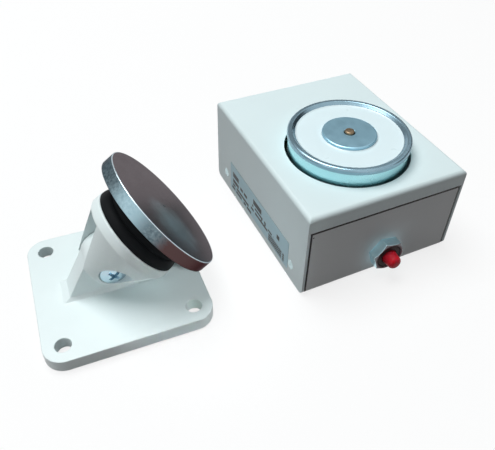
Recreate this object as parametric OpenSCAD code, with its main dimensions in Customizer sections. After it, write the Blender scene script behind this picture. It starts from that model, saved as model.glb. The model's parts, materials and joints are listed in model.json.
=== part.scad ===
// Electromagnetic door holder: a magnet unit in a folded steel case, and the
// swivelling keeper that goes on the door. Millimetres, +Z up. The origin is on
// the mounting plane, under the axis of the pot magnet. X runs along the front
// of the case and Y runs to its back.

/* [Case] */
// Width of the case across its side walls
case_w = 78; // [70:1:110]
// Depth of the case from front to back
case_d = 94; // [90:1:130]
// Height of the cover's top above the mounting plane
case_h = 45; // [40:1:60]
// Distance from the front of the case to the pot's axis
pot_setback = 35.5; // [34:0.5:42]
// Thickness of the cover's sheet
cover_t = 1.2; // [0.8:0.1:1.6]
// Inside radius of the cover's bends
cover_bend_r = 1; // [0.6:0.1:2]
// Height of the lips on the cover's front and back
lip_h = 8; // [5:0.5:12]
// Radius of the lower corners of the cover's side walls
cover_corner_r = 3; // [1:0.5:5]
// Thickness of the chassis sheet
chassis_t = 1.5; // [1:0.1:2]
// Inside radius of the chassis bends
chassis_bend_r = 1; // [0.6:0.1:2]
// Gap between a side wall and the front panel
panel_side_gap = 0.7; // [0.4:0.1:1.5]
// Gap between the cover's lips and the panels' tops
lip_gap = 0.6; // [0.3:0.1:1.2]
// How far the panels' faces lie behind the cover's front and back edges
panel_recess = 0.1; // [0:0.05:1]

/* [Case fixings] */
// Distance of the cover screws from the front and back of the case
cover_screw_inset = 11.5; // [9:0.5:14]
// Height of the cover screws above the mounting plane
cover_screw_z = 8.7; // [7:0.1:11]
// Diameter of the cover screws' thread
cover_screw_d = 2.5; // [2:0.5:3]
// Diameter of the cover screws' countersunk heads
cover_screw_head_d = 4.6; // [4:0.1:5.2]
// Length of the cover screws
cover_screw_len = 6; // [4:0.5:8]
// Width of the upright tabs that take the cover screws
tab_w = 10; // [8:1:14]
// Height of those tabs above the mounting plane
tab_h = 14; // [12.5:0.5:16]
// Diameter of the four fixing holes in the chassis
fix_hole_d = 5.5; // [4:0.5:6]
// Spacing of the fixing holes across the case
fix_spacing_x = 56; // [54:1:58]
// Spacing of the fixing holes from front to back
fix_spacing_y = 74; // [73:1:76]
// Distance from the front of the case to the first fixing holes
fix_inset = 9.5; // [8.5:0.5:10]

/* [Pot magnet] */
// Diameter of the pot's rim
pot_d = 55; // [50:0.5:57]
// Height of the rim above the cover's top
pot_rise = 8.3; // [5:0.1:12]
// Whole height of the pot
pot_h = 34; // [30:0.5:35]
// Gap all round between the rim and the hole in the cover
pot_gap = 0.9; // [0.5:0.1:1.5]
// Width of the rim's flat and chamfered ring
rim_w = 3.5; // [2.5:0.1:4.5]
// Height of the rim's rounded lip
rim_lip_h = 2.4; // [2:0.1:4]
// How far the lip stands proud of the pot's side
rim_lip = 0.5; // [0.2:0.1:1]
// Thickness of the pot's floor
pot_floor = 5; // [3:0.5:6]
// Diameter of the centre pole
pole_d = 24.4; // [20:0.1:28]
// Depth of the potting below the rim
potting_drop = 1.6; // [0.8:0.1:2.5]
// Thickness of the potting
potting_t = 4; // [2:0.5:6]
// Wall of the coil bobbin
bobbin_t = 1.2; // [0.8:0.1:1.6]
// Space between the winding and the pot's wall
coil_gap = 1.6; // [0.8:0.1:2.5]

/* [Pot fixing] */
// Diameter of the bolt that holds the pot
pot_bolt_d = 8; // [7:1:8]
// Width across the flats of its head
pot_bolt_af = 13; // [12:0.5:14]
// Height of its head
pot_bolt_head_h = 5.3; // [4:0.1:6]
// Length of its thread inside the core
pot_bolt_grip = 10; // [8:0.5:11]
// Thickness of its spring washer
pot_washer_t = 1.6; // [1:0.1:2]
// Thickness of the bracket's sheet
bracket_t = 2; // [1.5:0.1:3]
// Inside radius of the bracket's bends
bracket_bend_r = 1.5; // [1:0.1:2]
// Width of the bracket across its legs
bracket_w = 42; // [40:1:44]
// Width of the bracket from front to back
bracket_l = 28; // [24:1:30]
// Length of the bracket's feet beyond its legs
bracket_foot = 9; // [6:0.5:11]

/* [Ejector pin] */
// Diameter of the ejector pin
pin_d = 4.5; // [3:0.1:5]
// How far the pin stands above the pole
pin_rise = 0.8; // [0.5:0.1:1.5]
// Diameter of the pin's shoulder inside the core
pin_shoulder_d = 6; // [5.6:0.1:6.4]
// Length of the bore that guides the pin
pin_guide = 5; // [4:0.5:8]
// Wire of the ejector spring
pin_wire_d = 0.6; // [0.5:0.1:0.8]

/* [Release button] */
// Distance of the button from the middle of the front panel
button_x = 2; // [-6:0.5:6]
// Height of the button above the mounting plane
button_z = 11.5; // [9.5:0.1:11.5]
// Width across the flats of the button's nut
nut_af = 14; // [13.5:0.5:16]
// Length of the nut
nut_len = 4.8; // [4.4:0.1:8]
// Turn of the nut as it was tightened
nut_turn = 18; // [0:1:59]
// Diameter of the threaded bush
bush_d = 12; // [11.6:0.2:12.4]
// How far the bush ends inside the nut
bush_drop = 0.3; // [0.2:0.1:2]
// Diameter of the switch housing
housing_d = 15; // [14.6:0.2:16]
// Length of the switch housing behind the panel
housing_len = 12; // [11.5:0.5:13]
// Diameter of the red cap
cap_d = 7; // [6.6:0.1:8.8]
// How far the cap stands out of the nut
cap_rise = 5.3; // [4:0.1:7]
// Travel of the button
button_travel = 2.5; // [1.5:0.1:2.8]
// Diameter of the plunger's stem
stem_d = 5; // [4:0.1:5.2]
// Wire of the button's spring
button_wire_d = 0.6; // [0.5:0.1:0.8]

/* [Wiring] */
// Width of the circuit board
board_w = 36; // [34:1:38]
// Length of the circuit board from front to back
board_l = 20; // [18:1:21]
// Thickness of the circuit board
board_t = 1.6; // [1:0.1:2]
// Height of the posts that carry the board
post_h = 8; // [7:0.5:10]
// Diameter of those posts
post_d = 5; // [4:0.5:6]
// Distance from the back of the case to the board
board_inset = 5.5; // [5:0.5:7]
// Diameter of the board screws
board_screw_d = 2.5; // [2:0.5:3]
// Pitch of the terminal block's three poles
pole_pitch = 5; // [5:0.1:6]
// Height of the terminal block
block_h = 10; // [8:0.5:12]
// Depth of the terminal block from front to back
block_l = 8; // [7:0.5:9]
// Diameter of the leads' insulation
lead_d = 1.6; // [1.2:0.1:2]
// Bore of the grommet that a cable goes in through
grommet_bore_d = 8; // [5:0.5:9]
// Diameter of the hole that holds the grommet
grommet_hole_d = 12; // [11:0.5:14]
// Distance of the grommet from the left side of the case
grommet_inset = 15; // [13:0.5:17]
// Height of the grommet above the mounting plane
grommet_z = 14; // [12:0.5:24]

/* [Rating label] */
// Length of the blank label on the left wall
label_l = 63; // [40:1:64]
// Height of the label
label_h = 15.8; // [10:0.1:24]
// Thickness of the label
label_t = 0.15; // [0.1:0.05:0.3]
// Distance from the front of the case to the label
label_inset = 14; // [13.5:0.5:16]
// Height of the label's lower edge
label_z = 3.7; // [2:0.1:10]

/* [Keeper base] */
// Middle of the keeper's plate along X
keeper_x = -110.2; // [-140:0.1:-108]
// Middle of the keeper's plate along Y
keeper_y = 1.8; // [-20:0.1:40]
// Turn of the keeper on the mounting plane
keeper_turn = -3; // [-20:0.5:20]
// Side of the square plate
plate_s = 69; // [68:0.5:70]
// Thickness of the plate
plate_t = 6; // [4:0.5:7]
// Radius of the plate's corners
plate_r = 8.5; // [5:0.5:12]
// Diameter of the four holes in the plate
plate_hole_d = 6.5; // [5:0.5:8]
// Spacing of those holes
plate_spacing = 53; // [48:0.5:54]
// Thickness of the upright tongue
tongue_t = 10.2; // [8:0.1:11]
// Radius of the tongue round the pivot
tongue_r = 10.5; // [9:0.1:11.5]
// Half length of the tongue's foot
tongue_foot = 19.6; // [16:0.1:20]
// Height of the flare round the tongue's foot
flare_h = 1.5; // [1:0.1:1.8]
// Reach of the flare beyond the tongue's two ends
flare_end = 2.2; // [1:0.1:2.5]
// Reach of the flare beyond the tongue's sides
flare_side = 1.5; // [0.5:0.1:2]
// Distance of the pivot from the middle of the plate
pivot_u = -1.4; // [-2:0.1:0]
// Height of the pivot above the mounting plane
pivot_z = 20.9; // [20:0.1:24]

/* [Swivel head] */
// Rest tilt of the head above the mounting plane
head_tilt = 35.5; // [30:0.5:90]
// Diameter of the head's front ring
ring_d = 42; // [40:0.5:44]
// Distance from the pivot to the back of the ring
ring_back = 11.6; // [11.4:0.1:13]
// Length of the ring
ring_len = 4.3; // [3.5:0.1:5.5]
// Distance from the pivot to the cheeks' back
cheek_back = 8; // [7:0.1:8.5]
// Diameter of the head across the cheeks' back
cheek_d = 19.8; // [18:0.1:21]
// Clearance between each cheek and the tongue
cheek_gap = 0.3; // [0.2:0.05:0.5]
// Diameter of the pivot screw
pivot_d = 6; // [5:0.5:6]
// Diameter of the pivot screw's head
pivot_head_d = 11; // [10:0.1:12]
// Height of the pivot screw's head
pivot_head_h = 3.2; // [2.5:0.1:3.5]
// Thickness of the cheeks under the screw's head and the nut
cheek_seat_t = 4; // [3:0.1:5]
// Width across the flats of the pivot nut
pivot_nut_af = 10; // [9:0.5:10.5]
// Height of the pivot nut
pivot_nut_h = 4.5; // [3.5:0.1:5]
// Thickness of the spring washer under the nut
pivot_washer_t = 1; // [0.6:0.1:1.4]

/* [Armature] */
// Diameter of the armature disc
disc_d = 58.8; // [52:0.1:59]
// Thickness of the armature disc
disc_t = 5.7; // [5:0.1:8]
// Distance from the pivot to the disc's front face
disc_front = 31.7; // [31:0.1:36]
// Rest lean of the disc on its cushion
disc_lean = 1.9; // [0:0.1:2]
// Diameter of the cushion where it meets the disc
cushion_front_d = 35; // [30:0.5:38]
// Length of the cushion's rounded shoulder
cushion_shoulder = 4.5; // [3:0.5:6]
// Diameter of the head's spigot inside the cushion
spigot_d = 18; // [14:0.5:20]
// Length of the spigot
spigot_len = 4.2; // [3:0.1:5]
// Diameter of the armature bolt
arm_bolt_d = 6; // [5:0.5:6]
// Diameter of the armature bolt's head
arm_head_d = 10.4; // [9:0.1:11]
// Height of the armature bolt's head
arm_head_h = 2.2; // [1.8:0.1:2.4]
// Thickness of the washer under that head
arm_washer_t = 1; // [0.8:0.1:1.2]
// Length of the armature bolt's thread in the disc
arm_grip = 3.8; // [3:0.1:4.2]

/* [Hidden] */
$fn = 72;

// Clearances: a turned fit, a thread, a sliding piece and a loose hole
fit_gap = 0.05;
thread_gap = 0.05;
slide_gap = 0.3;
hole_gap = 0.3;
// Overshoot of a cutting shape past the face that it cuts
cut = 1;

// Case
front_y = -pot_setback;
back_y = front_y + case_d;
mid_y = (front_y + back_y) / 2;
half_w = case_w / 2;
lip_z = case_h - lip_h;
panel_y = front_y + panel_recess;
rear_panel_y = back_y - panel_recess;
panel_half_w = half_w - cover_t - panel_side_gap;
panel_top = lip_z - lip_gap;
tab_x = half_w - cover_t - fit_gap;
cover_screw_ys = [front_y + cover_screw_inset, back_y - cover_screw_inset];
fix_front_y = front_y + fix_inset;
fix_ys = [fix_front_y, fix_front_y + fix_spacing_y];

// Pot magnet
pot_top = case_h + pot_rise;
pot_bottom = pot_top - pot_h;
pot_side_r = pot_d / 2 - rim_lip;
pot_inner_r = pot_d / 2 - rim_w;
pot_floor_z = pot_bottom + pot_floor;
pole_r = pole_d / 2;
potting_top = pot_top - potting_drop;
bobbin_top = potting_top - potting_t;
bobbin_r = pot_inner_r - fit_gap;
winding_r = pot_inner_r - coil_gap;
lead_hole_r = lead_d / 2 + hole_gap;
lead_exit = [8, 18];

// Core, bolt and ejector pin
bolt_r = pot_bolt_d / 2;
bolt_top = pot_floor_z + pot_bolt_grip;
bolt_seat = pot_bottom - bracket_t - pot_washer_t;
tap_clear = 2;
tap_top = bolt_top + tap_clear;
guide_z = pot_top - pin_guide;
chamber_r = pin_shoulder_d / 2 + slide_gap;
pin_r = pin_d / 2;
pin_shoulder_t = 1.2;
pin_shoulder_top = guide_z - fit_gap;
pin_shoulder_bottom = pin_shoulder_top - pin_shoulder_t;
pin_spigot = 3;
pin_spigot_r = pin_shoulder_d / 2 - pin_wire_d - 2 * slide_gap;
pin_spring_r = (pin_shoulder_d - pin_wire_d) / 2;

// Switch, measured inwards from the panel's face
washer_t = 0.8;
housing_front = chassis_t + washer_t;
housing_back = housing_front + housing_len;
bush_r = bush_d / 2;
bush_front = bush_drop - nut_len;
cap_r = cap_d / 2;
cap_bore_r = cap_r + slide_gap;
housing_wall = 1;
guide_t = 2;
guide_back = housing_front + housing_wall;
guide_front = guide_back - guide_t;
cap_front = -nut_len - cap_rise;
cap_back = guide_front - hole_gap - button_travel;
cap_socket = 4.5;
stem_r = stem_d / 2;
collar_r = stem_r + 1;
collar_front = guide_back + fit_gap;
chamber_wall = 1.3;
switch_chamber_r = housing_d / 2 - chamber_wall;
strip_t = 0.6;
strip_w = 2.4;
tip_front = collar_front + 1.8;
tip_back = tip_front + strip_t;
bridge_front = tip_back + fit_gap;
bridge_back = bridge_front + strip_t;
base_t = 2;
base_front = housing_back - base_t;
stem_back = base_front - button_travel - hole_gap;
strip_out = switch_chamber_r - 0.25;
strip_in = strip_out - strip_t;
tip_in = collar_r + 0.6;
bridge_r = strip_in - slide_gap;
tail_len = 4;
tail_x = (strip_in + strip_out) / 2;
tail_end_y = panel_y + housing_back + tail_len;
button_spring_r = stem_r + slide_gap + button_wire_d / 2;

// Circuit board and its pieces
board_back_y = rear_panel_y - chassis_t - board_inset;
board_y = board_back_y - board_l / 2;
board_z = chassis_t + post_h;
board_top = board_z + board_t;
post_inset = post_d / 2 + 1;
post_xs = [-board_w / 2 + post_inset, board_w / 2 - post_inset];
post_ys = [board_y - board_l / 2 + post_inset, board_y + board_l / 2 - post_inset];
board_head_r = board_screw_d / 2 + 1;
board_head_h = 1.6;
board_thread = 5;
block_w = 3 * pole_pitch;
pole_xs = [-pole_pitch, 0, pole_pitch];
block_y = board_y + 1;
well_r = pole_pitch / 2 - 0.6;
well_depth = block_h / 2;
entry_r = pole_pitch / 2 - 0.9;
diode_r = 1.3;
diode_l = 5;
diode_x = -4;
diode_y = board_y - board_l / 2 + 3;
diode_wire_r = 0.4;
diode_lift = 0.4;

// Leads: the routes' points are chosen by hand, and their ends follow the switch and the board
lead_r = lead_d / 2;
lead_steps = 4;
lead_gap = 0.2;
function toward_board(share) = lead_exit[1] + share * (board_y - 2 - lead_exit[1]);
coil_route = [
    [8, 18, 24], [8, 18, 20], [8, toward_board(0.05), 15], [8.5, toward_board(0.2), 10.5],
    [9, toward_board(0.38), 7], [9.5, toward_board(0.6), 5.2], [10, toward_board(0.8), 5.2],
    [10, toward_board(0.9), 6], [10, toward_board(0.98), 7.6], [10, toward_board(1), 9.4]
];
switch_route_left = [
    [button_x - tail_x, tail_end_y + lead_gap, button_z], [button_x - tail_x, tail_end_y + 3, button_z],
    [-4.5, -10, 8], [-6, -6, 5], [-7.5, 0, 3.6], [-7.5, 10, 3.4],
    [-6.5, 20, 3.4], [-5.5, board_y - 12, 3.6], [-5, board_y - 6, 4.6], [-5, board_y - 2, 6.6],
    [-5, board_y - 1, 9.4]
];
switch_route_right = [
    [button_x + tail_x, tail_end_y + lead_gap, button_z], [button_x + tail_x, tail_end_y + 3, button_z],
    [8, -10, 8], [8, -6, 5], [7.5, 0, 3.6], [7, 10, 3.4],
    [6, 20, 3.4], [5, board_y - 12, 3.6], [5, board_y - 6, 4.6], [5, board_y - 2, 6.6],
    [5, board_y - 1, 9.4]
];

// Grommet
grommet_flange = 2;
grommet_face = 1.2;
grommet_lip_r = grommet_hole_d / 2 + 2;
grommet_x = grommet_inset - half_w;

// Keeper
tongue_half = tongue_t / 2;
flank_inset = 0.3;
slot_half = tongue_half + cheek_gap;
slot_floor = tongue_r + 0.7;
ring_r = ring_d / 2;
ring_front = ring_back + ring_len;
cheek_r = cheek_d / 2;
edge_r = 0.8;
pivot_r = pivot_d / 2;
cheek_seat = slot_half + cheek_seat_t;
head_recess_r = pivot_head_d / 2 + 0.5;
washer_seat = cheek_seat;
nut_seat = cheek_seat + pivot_washer_t;
nut_recess_af = pivot_nut_af + 0.4;
head_reach = ring_r + cut;

// Armature
disc_r = disc_d / 2;
disc_back = disc_front - disc_t;
disc_edge = 0.4;
spigot_r = spigot_d / 2;
spigot_front = ring_front + spigot_len;
arm_r = arm_bolt_d / 2;
arm_head_r = arm_head_d / 2;
arm_pocket_r = arm_head_r + 1;
arm_head_back = slot_floor + 0.1;
arm_seat = arm_head_back + arm_head_h + arm_washer_t;
arm_pocket_floor = arm_seat + 0.35;
arm_bore_r = arm_r + 0.6;
arm_tip = disc_back + arm_grip;
cushion_r = ring_r - 0.3;
cushion_front_r = cushion_front_d / 2;
cushion_bore_r = spigot_r + slide_gap;
cushion_gap = 0.1;
dimple_r = 0.9;
dimple_depth = 0.6;

// Points of an arc, first and last included
function arc(x, y, r, a0, a1, n) =
    [for (i = [0 : n]) let (a = a0 + (a1 - a0) * i / n) [x + r * cos(a), y + r * sin(a)]];

// Radius across the corners of a hexagon
function hex_r(flats) = flats / 2 / cos(30);

// A smooth curve through a route's points
function blend(p0, p1, p2, p3, t) =
    0.5 * (2 * p1 + (p2 - p0) * t + (2 * p0 - 5 * p1 + 4 * p2 - p3) * t * t
        + (3 * p1 - p0 - 3 * p2 + p3) * t * t * t);
function smooth(p, steps) = concat(
    [for (i = [0 : len(p) - 2], s = [0 : steps - 1])
        blend(p[max(i - 1, 0)], p[i], p[i + 1], p[min(i + 2, len(p) - 1)], s / steps)],
    [p[len(p) - 1]]);

// Directions along a route, and a normal carried along it without twist
function unit(v) = v / norm(v);
function across(v, t) = unit(v - t * (v * t));
function tangents(p) = [for (i = [0 : len(p) - 1]) unit(p[min(i + 1, len(p) - 1)] - p[max(i - 1, 0)])];
function normals(t, first) =
    [for (i = 0, n = across(first, t[0]); i < len(t); i = i + 1, n = i < len(t) ? across(n, t[i]) : n) n];

// Square with its lower and upper corners rounded
module soft_rect(x0, y0, x1, y1, low_r, high_r) {
    difference() {
        translate([x0, y0])
            square([x1 - x0, y1 - y0]);
        corner_waste(x0, y0, 1, 1, low_r);
        corner_waste(x1, y0, -1, 1, low_r);
        corner_waste(x0, y1, 1, -1, high_r);
        corner_waste(x1, y1, -1, -1, high_r);
    }
}

// What a rounding takes off one corner
module corner_waste(x, y, sx, sy, r) {
    translate([x, y])
        scale([sx, sy])
            difference() {
                translate([-cut, -cut])
                    square(r + cut);
                translate([r, r])
                    circle(r);
            }
}

// Section of a sheet bent once, with its outer corner at the origin
module bent_sheet(across_len, up_len, t, r) {
    difference() {
        square([across_len, up_len]);
        corner_waste(0, 0, 1, 1, r + t);
        difference() {
            translate([t, t])
                square([across_len, up_len]);
            corner_waste(t, t, 1, 1, r);
        }
    }
}

// A round tube along a route
module tube(route, r, sides, first = [1, 0.2, 0.1]) {
    t = tangents(route);
    n = normals(t, first);
    rings = len(route);
    points = [for (i = [0 : rings - 1], k = [0 : sides - 1])
        let (a = 360 * k / sides) route[i] + r * (cos(a) * n[i] + sin(a) * cross(t[i], n[i]))];
    walls = [for (i = [0 : rings - 2], k = [0 : sides - 1])
        let (m = (k + 1) % sides) [i * sides + k, (i + 1) * sides + k, (i + 1) * sides + m, i * sides + m]];
    start_cap = [[for (k = [0 : sides - 1]) k]];
    end_cap = [[for (k = [0 : sides - 1]) rings * sides - 1 - k]];
    polyhedron(points, concat(walls, start_cap, end_cap));
}

// A compression spring standing on z = 0, with closed end turns
module coil_spring(length, mean_r, wire_d, turns) {
    per_turn = 14;
    closed = 1;
    total = turns + 2 * closed;
    run = length - 3 * wire_d;
    steps = total * per_turn;
    function climb(turn) = turn < closed ? wire_d * turn / closed
        : turn > closed + turns ? wire_d + run + wire_d * (turn - closed - turns) / closed
        : wire_d + run * (turn - closed) / turns;
    route = [for (i = [0 : steps]) let (turn = i / per_turn, a = 360 * turn)
        [mean_r * cos(a), mean_r * sin(a), wire_d / 2 + climb(turn)]];
    tube(route, wire_d / 2, 8, [0, 0, 1]);
}

// Places on the case and on the keeper
module at_switch() {
    translate([button_x, panel_y, button_z])
        rotate([-90, 0, 0])
            children();
}
module at_keeper() {
    translate([keeper_x, keeper_y, 0])
        rotate([0, 0, keeper_turn])
            children();
}
// The head's own frame: x along its axis from the pivot, y along the hinge
module at_head() {
    at_keeper()
        translate([pivot_u, 0, pivot_z])
            rotate([0, -head_tilt, 0])
                children();
}
// The disc leans with its bolt about the seat of the bolt's head
module at_armature() {
    at_head()
        translate([arm_seat, 0, 0])
            rotate([0, 0, disc_lean])
                translate([-arm_seat, 0, 0])
                    children();
}
// A turned shape whose section is given as radius and distance along x
module turned_on_x(points) {
    rotate([0, 90, 0])
        rotate_extrude()
            polygon(points);
}
module rod_on_x(from, to, r) {
    translate([from, 0, 0])
        rotate([0, 90, 0])
            cylinder(h = to - from, r = r);
}
module rod_on_y(from, to, r) {
    translate([0, from, 0])
        rotate([-90, 0, 0])
            cylinder(h = to - from, r = r);
}
module hex_on_y(from, to, flats) {
    translate([0, from, 0])
        rotate([-90, 0, 0])
            cylinder(h = to - from, r = hex_r(flats), $fn = 6);
}

// Outer form of the cover, or its inner form where inset is the sheet
module cover_block(inset, low_z, low_r) {
    r = cover_bend_r + cover_t - inset;
    intersection() {
        translate([0, back_y + cut, 0])
            rotate([90, 0, 0])
                linear_extrude(case_d + 2 * cut)
                    soft_rect(-half_w + inset, low_z, half_w - inset, case_h - inset, 0.01, r);
        translate([-half_w - cut, 0, 0])
            rotate([90, 0, 90])
                linear_extrude(case_w + 2 * cut)
                    soft_rect(front_y + inset, low_z, back_y - inset, case_h - inset, low_r, r);
    }
}

module cover() {
    color("#dfe7e7")
        difference() {
            cover_block(0, 0, cover_corner_r);
            cover_block(cover_t, -cut - cover_corner_r, cover_corner_r);
            for (y = [front_y - cut, back_y - cover_t - cut])
                translate([-half_w + cover_t, y, -cut])
                    cube([case_w - 2 * cover_t, cover_t + 2 * cut, lip_z + cut]);
            cylinder(h = case_h + cut, r = pot_d / 2 + pot_gap);
            at_cover_screws()
                cover_screw_sink();
        }
}

// One copy at each cover screw, with z pointing out of the side wall
module at_cover_screws() {
    for (side = [-1, 1], y = cover_screw_ys)
        translate([side * half_w, y, cover_screw_z])
            rotate([0, side * 90, 0])
                children();
}
module cover_screw_sink() {
    head_r = cover_screw_head_d / 2 + fit_gap;
    shank_r = cover_screw_d / 2 + fit_gap;
    translate([0, 0, -cover_t - cut])
        cylinder(h = cover_t + 2 * cut, r = shank_r);
    translate([0, 0, -cover_t])
        cylinder(h = cover_t, r1 = shank_r, r2 = head_r);
    cylinder(h = cut, r = head_r);
}

module cover_screws() {
    color("#c9ced2")
        at_cover_screws()
            difference() {
                union() {
                    translate([0, 0, -cover_screw_len])
                        cylinder(h = cover_screw_len, r = cover_screw_d / 2);
                    translate([0, 0, -cover_t])
                        cylinder(h = cover_t, r1 = cover_screw_d / 2, r2 = cover_screw_head_d / 2);
                }
                for (a = [0, 90])
                    rotate([0, 0, a])
                        cube([cover_screw_head_d * 0.55, 0.5, 1.2], center = true);
            }
}

module chassis() {
    color("#c4cccf")
        difference() {
            union() {
                chassis_panel(panel_y, 1);
                chassis_panel(rear_panel_y, -1);
                for (side = [-1, 1], y = cover_screw_ys)
                    translate([side * tab_x, y + tab_w / 2, 0])
                        scale([-side, 1, 1])
                            rotate([90, 0, 0])
                                linear_extrude(tab_w)
                                    bent_sheet(tab_x / 2, tab_h, chassis_t, chassis_bend_r);
            }
            for (side = [-1, 1], y = fix_ys)
                translate([side * fix_spacing_x / 2, y, -cut])
                    cylinder(h = chassis_t + 2 * cut, r = fix_hole_d / 2);
            at_cover_screws()
                translate([0, 0, -cover_t - chassis_t - 2 * cut])
                    cylinder(h = chassis_t + 3 * cut, r = cover_screw_d / 2 + thread_gap);
            at_switch()
                translate([0, 0, -cut])
                    cylinder(h = chassis_t + 2 * cut, r = bush_r + hole_gap);
            translate([grommet_x, rear_panel_y - chassis_t - cut, grommet_z])
                rotate([-90, 0, 0])
                    cylinder(h = chassis_t + 2 * cut, r = grommet_hole_d / 2);
        }
}

// Half of the chassis: one upright panel and the floor up to the middle
module chassis_panel(face_y, inwards) {
    translate([-panel_half_w, face_y, 0])
        scale([1, inwards, 1])
            rotate([90, 0, 90])
                linear_extrude(2 * panel_half_w)
                    bent_sheet(abs(mid_y - face_y), panel_top, chassis_t, chassis_bend_r);
}

module rating_label() {
    color("#a9c0cc")
        translate([-half_w - label_t, front_y + label_inset, label_z])
            cube([label_t, label_l, label_h]);
}

module cable_grommet() {
    r = grommet_hole_d / 2 - fit_gap;
    inside = rear_panel_y - chassis_t - grommet_flange;
    waist = chassis_t + 2 * fit_gap;
    color("#1c1c1e")
        translate([grommet_x, inside, grommet_z])
            rotate([-90, 0, 0])
                rotate_extrude()
                    polygon([
                        [grommet_bore_d / 2, 0], [grommet_lip_r - 0.6, 0], [grommet_lip_r, 0.6],
                        [grommet_lip_r, grommet_flange - fit_gap], [r, grommet_flange - fit_gap],
                        [r, grommet_flange - fit_gap + waist],
                        [grommet_lip_r, grommet_flange - fit_gap + waist],
                        [grommet_lip_r, grommet_flange + chassis_t + grommet_face],
                        [grommet_bore_d / 2, grommet_flange + chassis_t + grommet_face]
                    ]);
}

module magnet_bracket() {
    top = pot_bottom;
    leg_x = bracket_w / 2;
    low = chassis_t;
    mid = (top + low) / 2;
    color("#b9bec2")
        difference() {
            for (side = [-1, 1])
                scale([side, 1, 1])
                    translate([0, bracket_l / 2, 0])
                        rotate([90, 0, 0])
                            linear_extrude(bracket_l)
                                union() {
                                    translate([leg_x, top])
                                        scale([-1, -1])
                                            bent_sheet(leg_x, top - mid, bracket_t, bracket_bend_r);
                                    translate([leg_x - bracket_t, low])
                                        bent_sheet(bracket_foot + bracket_t, mid - low,
                                            bracket_t, bracket_bend_r);
                                }
            translate([0, 0, top - bracket_t - cut])
                cylinder(h = bracket_t + 2 * cut, r = bolt_r + hole_gap);
        }
}

module magnet_washer() {
    color("#8f9498")
        translate([0, 0, bolt_seat])
            difference() {
                cylinder(h = pot_washer_t, r = bolt_r + 3);
                translate([0, 0, -cut])
                    cylinder(h = pot_washer_t + 2 * cut, r = bolt_r + 0.2);
            }
}

module magnet_bolt() {
    flat_r = pot_bolt_af / 2;
    tip = 1;
    color("#c9ced2")
        union() {
            translate([0, 0, bolt_seat - pot_bolt_head_h])
                intersection() {
                    cylinder(h = pot_bolt_head_h, r = hex_r(pot_bolt_af), $fn = 6);
                    cylinder(h = pot_bolt_head_h, r1 = flat_r, r2 = flat_r + pot_bolt_head_h);
                }
            translate([0, 0, bolt_seat - cut])
                cylinder(h = bolt_top - tip - bolt_seat + cut, r = bolt_r);
            translate([0, 0, bolt_top - tip])
                cylinder(h = tip, r1 = bolt_r, r2 = bolt_r - 0.8);
        }
}

module magnet_cup() {
    round_r = 0.9;
    color("#b7c9d1")
        difference() {
            rotate_extrude()
                polygon(concat(
                    [[0, pot_bottom], [pot_side_r - 1, pot_bottom], [pot_side_r, pot_bottom + 1],
                        [pot_side_r, pot_top - rim_lip_h - rim_lip], [pot_d / 2, pot_top - rim_lip_h]],
                    arc(pot_d / 2 - round_r, pot_top - round_r, round_r, 0, 90, 6),
                    [[pot_inner_r + 1.3, pot_top], [pot_inner_r, pot_top - 1.1],
                        [pot_inner_r, pot_floor_z], [0, pot_floor_z]]
                ));
            translate([0, 0, pot_bottom - cut])
                cylinder(h = pot_floor + 2 * cut, r = bolt_r + hole_gap);
            for (side = [-1, 1])
                translate([side * lead_exit[0], lead_exit[1], pot_bottom - cut])
                    cylinder(h = pot_floor + 2 * cut, r = lead_hole_r);
        }
}

module pole_core() {
    bevel = 0.5;
    color("#9fb4be")
        rotate_extrude()
            polygon([
                [bolt_r + thread_gap, pot_floor_z], [pole_r, pot_floor_z], [pole_r, pot_top - bevel],
                [pole_r - bevel, pot_top], [pin_r + fit_gap + 0.4, pot_top],
                [pin_r + fit_gap, pot_top - 0.4], [pin_r + fit_gap, guide_z], [chamber_r, guide_z],
                [chamber_r, tap_top], [bolt_r + thread_gap, tap_top]
            ]);
}

module coil_bobbin() {
    hub_in = pole_r + fit_gap;
    hub_out = hub_in + bobbin_t;
    color("#e9e4d2")
        rotate_extrude()
            polygon([
                [hub_in, pot_floor_z], [bobbin_r, pot_floor_z], [bobbin_r, pot_floor_z + bobbin_t],
                [hub_out, pot_floor_z + bobbin_t], [hub_out, bobbin_top - bobbin_t],
                [bobbin_r, bobbin_top - bobbin_t], [bobbin_r, bobbin_top], [hub_in, bobbin_top]
            ]);
}

module coil_winding() {
    inner = pole_r + bobbin_t + 2 * fit_gap;
    color("#b4633a")
        translate([0, 0, pot_floor_z + bobbin_t])
            difference() {
                cylinder(h = bobbin_top - pot_floor_z - 2 * bobbin_t, r = winding_r);
                translate([0, 0, -cut])
                    cylinder(h = pot_h, r = inner);
            }
}

module potting_ring() {
    color("#f3f7f7")
        translate([0, 0, bobbin_top])
            difference() {
                cylinder(h = potting_t, r = pot_inner_r - fit_gap);
                translate([0, 0, -cut])
                    cylinder(h = potting_t + 2 * cut, r = pole_r + fit_gap);
            }
}

module ejector_pin() {
    dome = 0.6;
    tip = pot_top + pin_rise;
    color("#a5794a")
        rotate_extrude()
            polygon([
                [0, pin_shoulder_bottom - pin_spigot], [pin_spigot_r, pin_shoulder_bottom - pin_spigot],
                [pin_spigot_r, pin_shoulder_bottom], [pin_shoulder_d / 2, pin_shoulder_bottom],
                [pin_shoulder_d / 2, pin_shoulder_top], [pin_r, pin_shoulder_top],
                [pin_r, tip - dome], [pin_r - dome / 2, tip - dome / 4], [pin_r - 2 * dome, tip], [0, tip]
            ]);
}

module ejector_spring() {
    color("#8f9498")
        translate([0, 0, bolt_top + fit_gap])
            coil_spring(pin_shoulder_bottom - bolt_top - 2 * fit_gap, pin_spring_r, pin_wire_d, 5);
}

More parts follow.
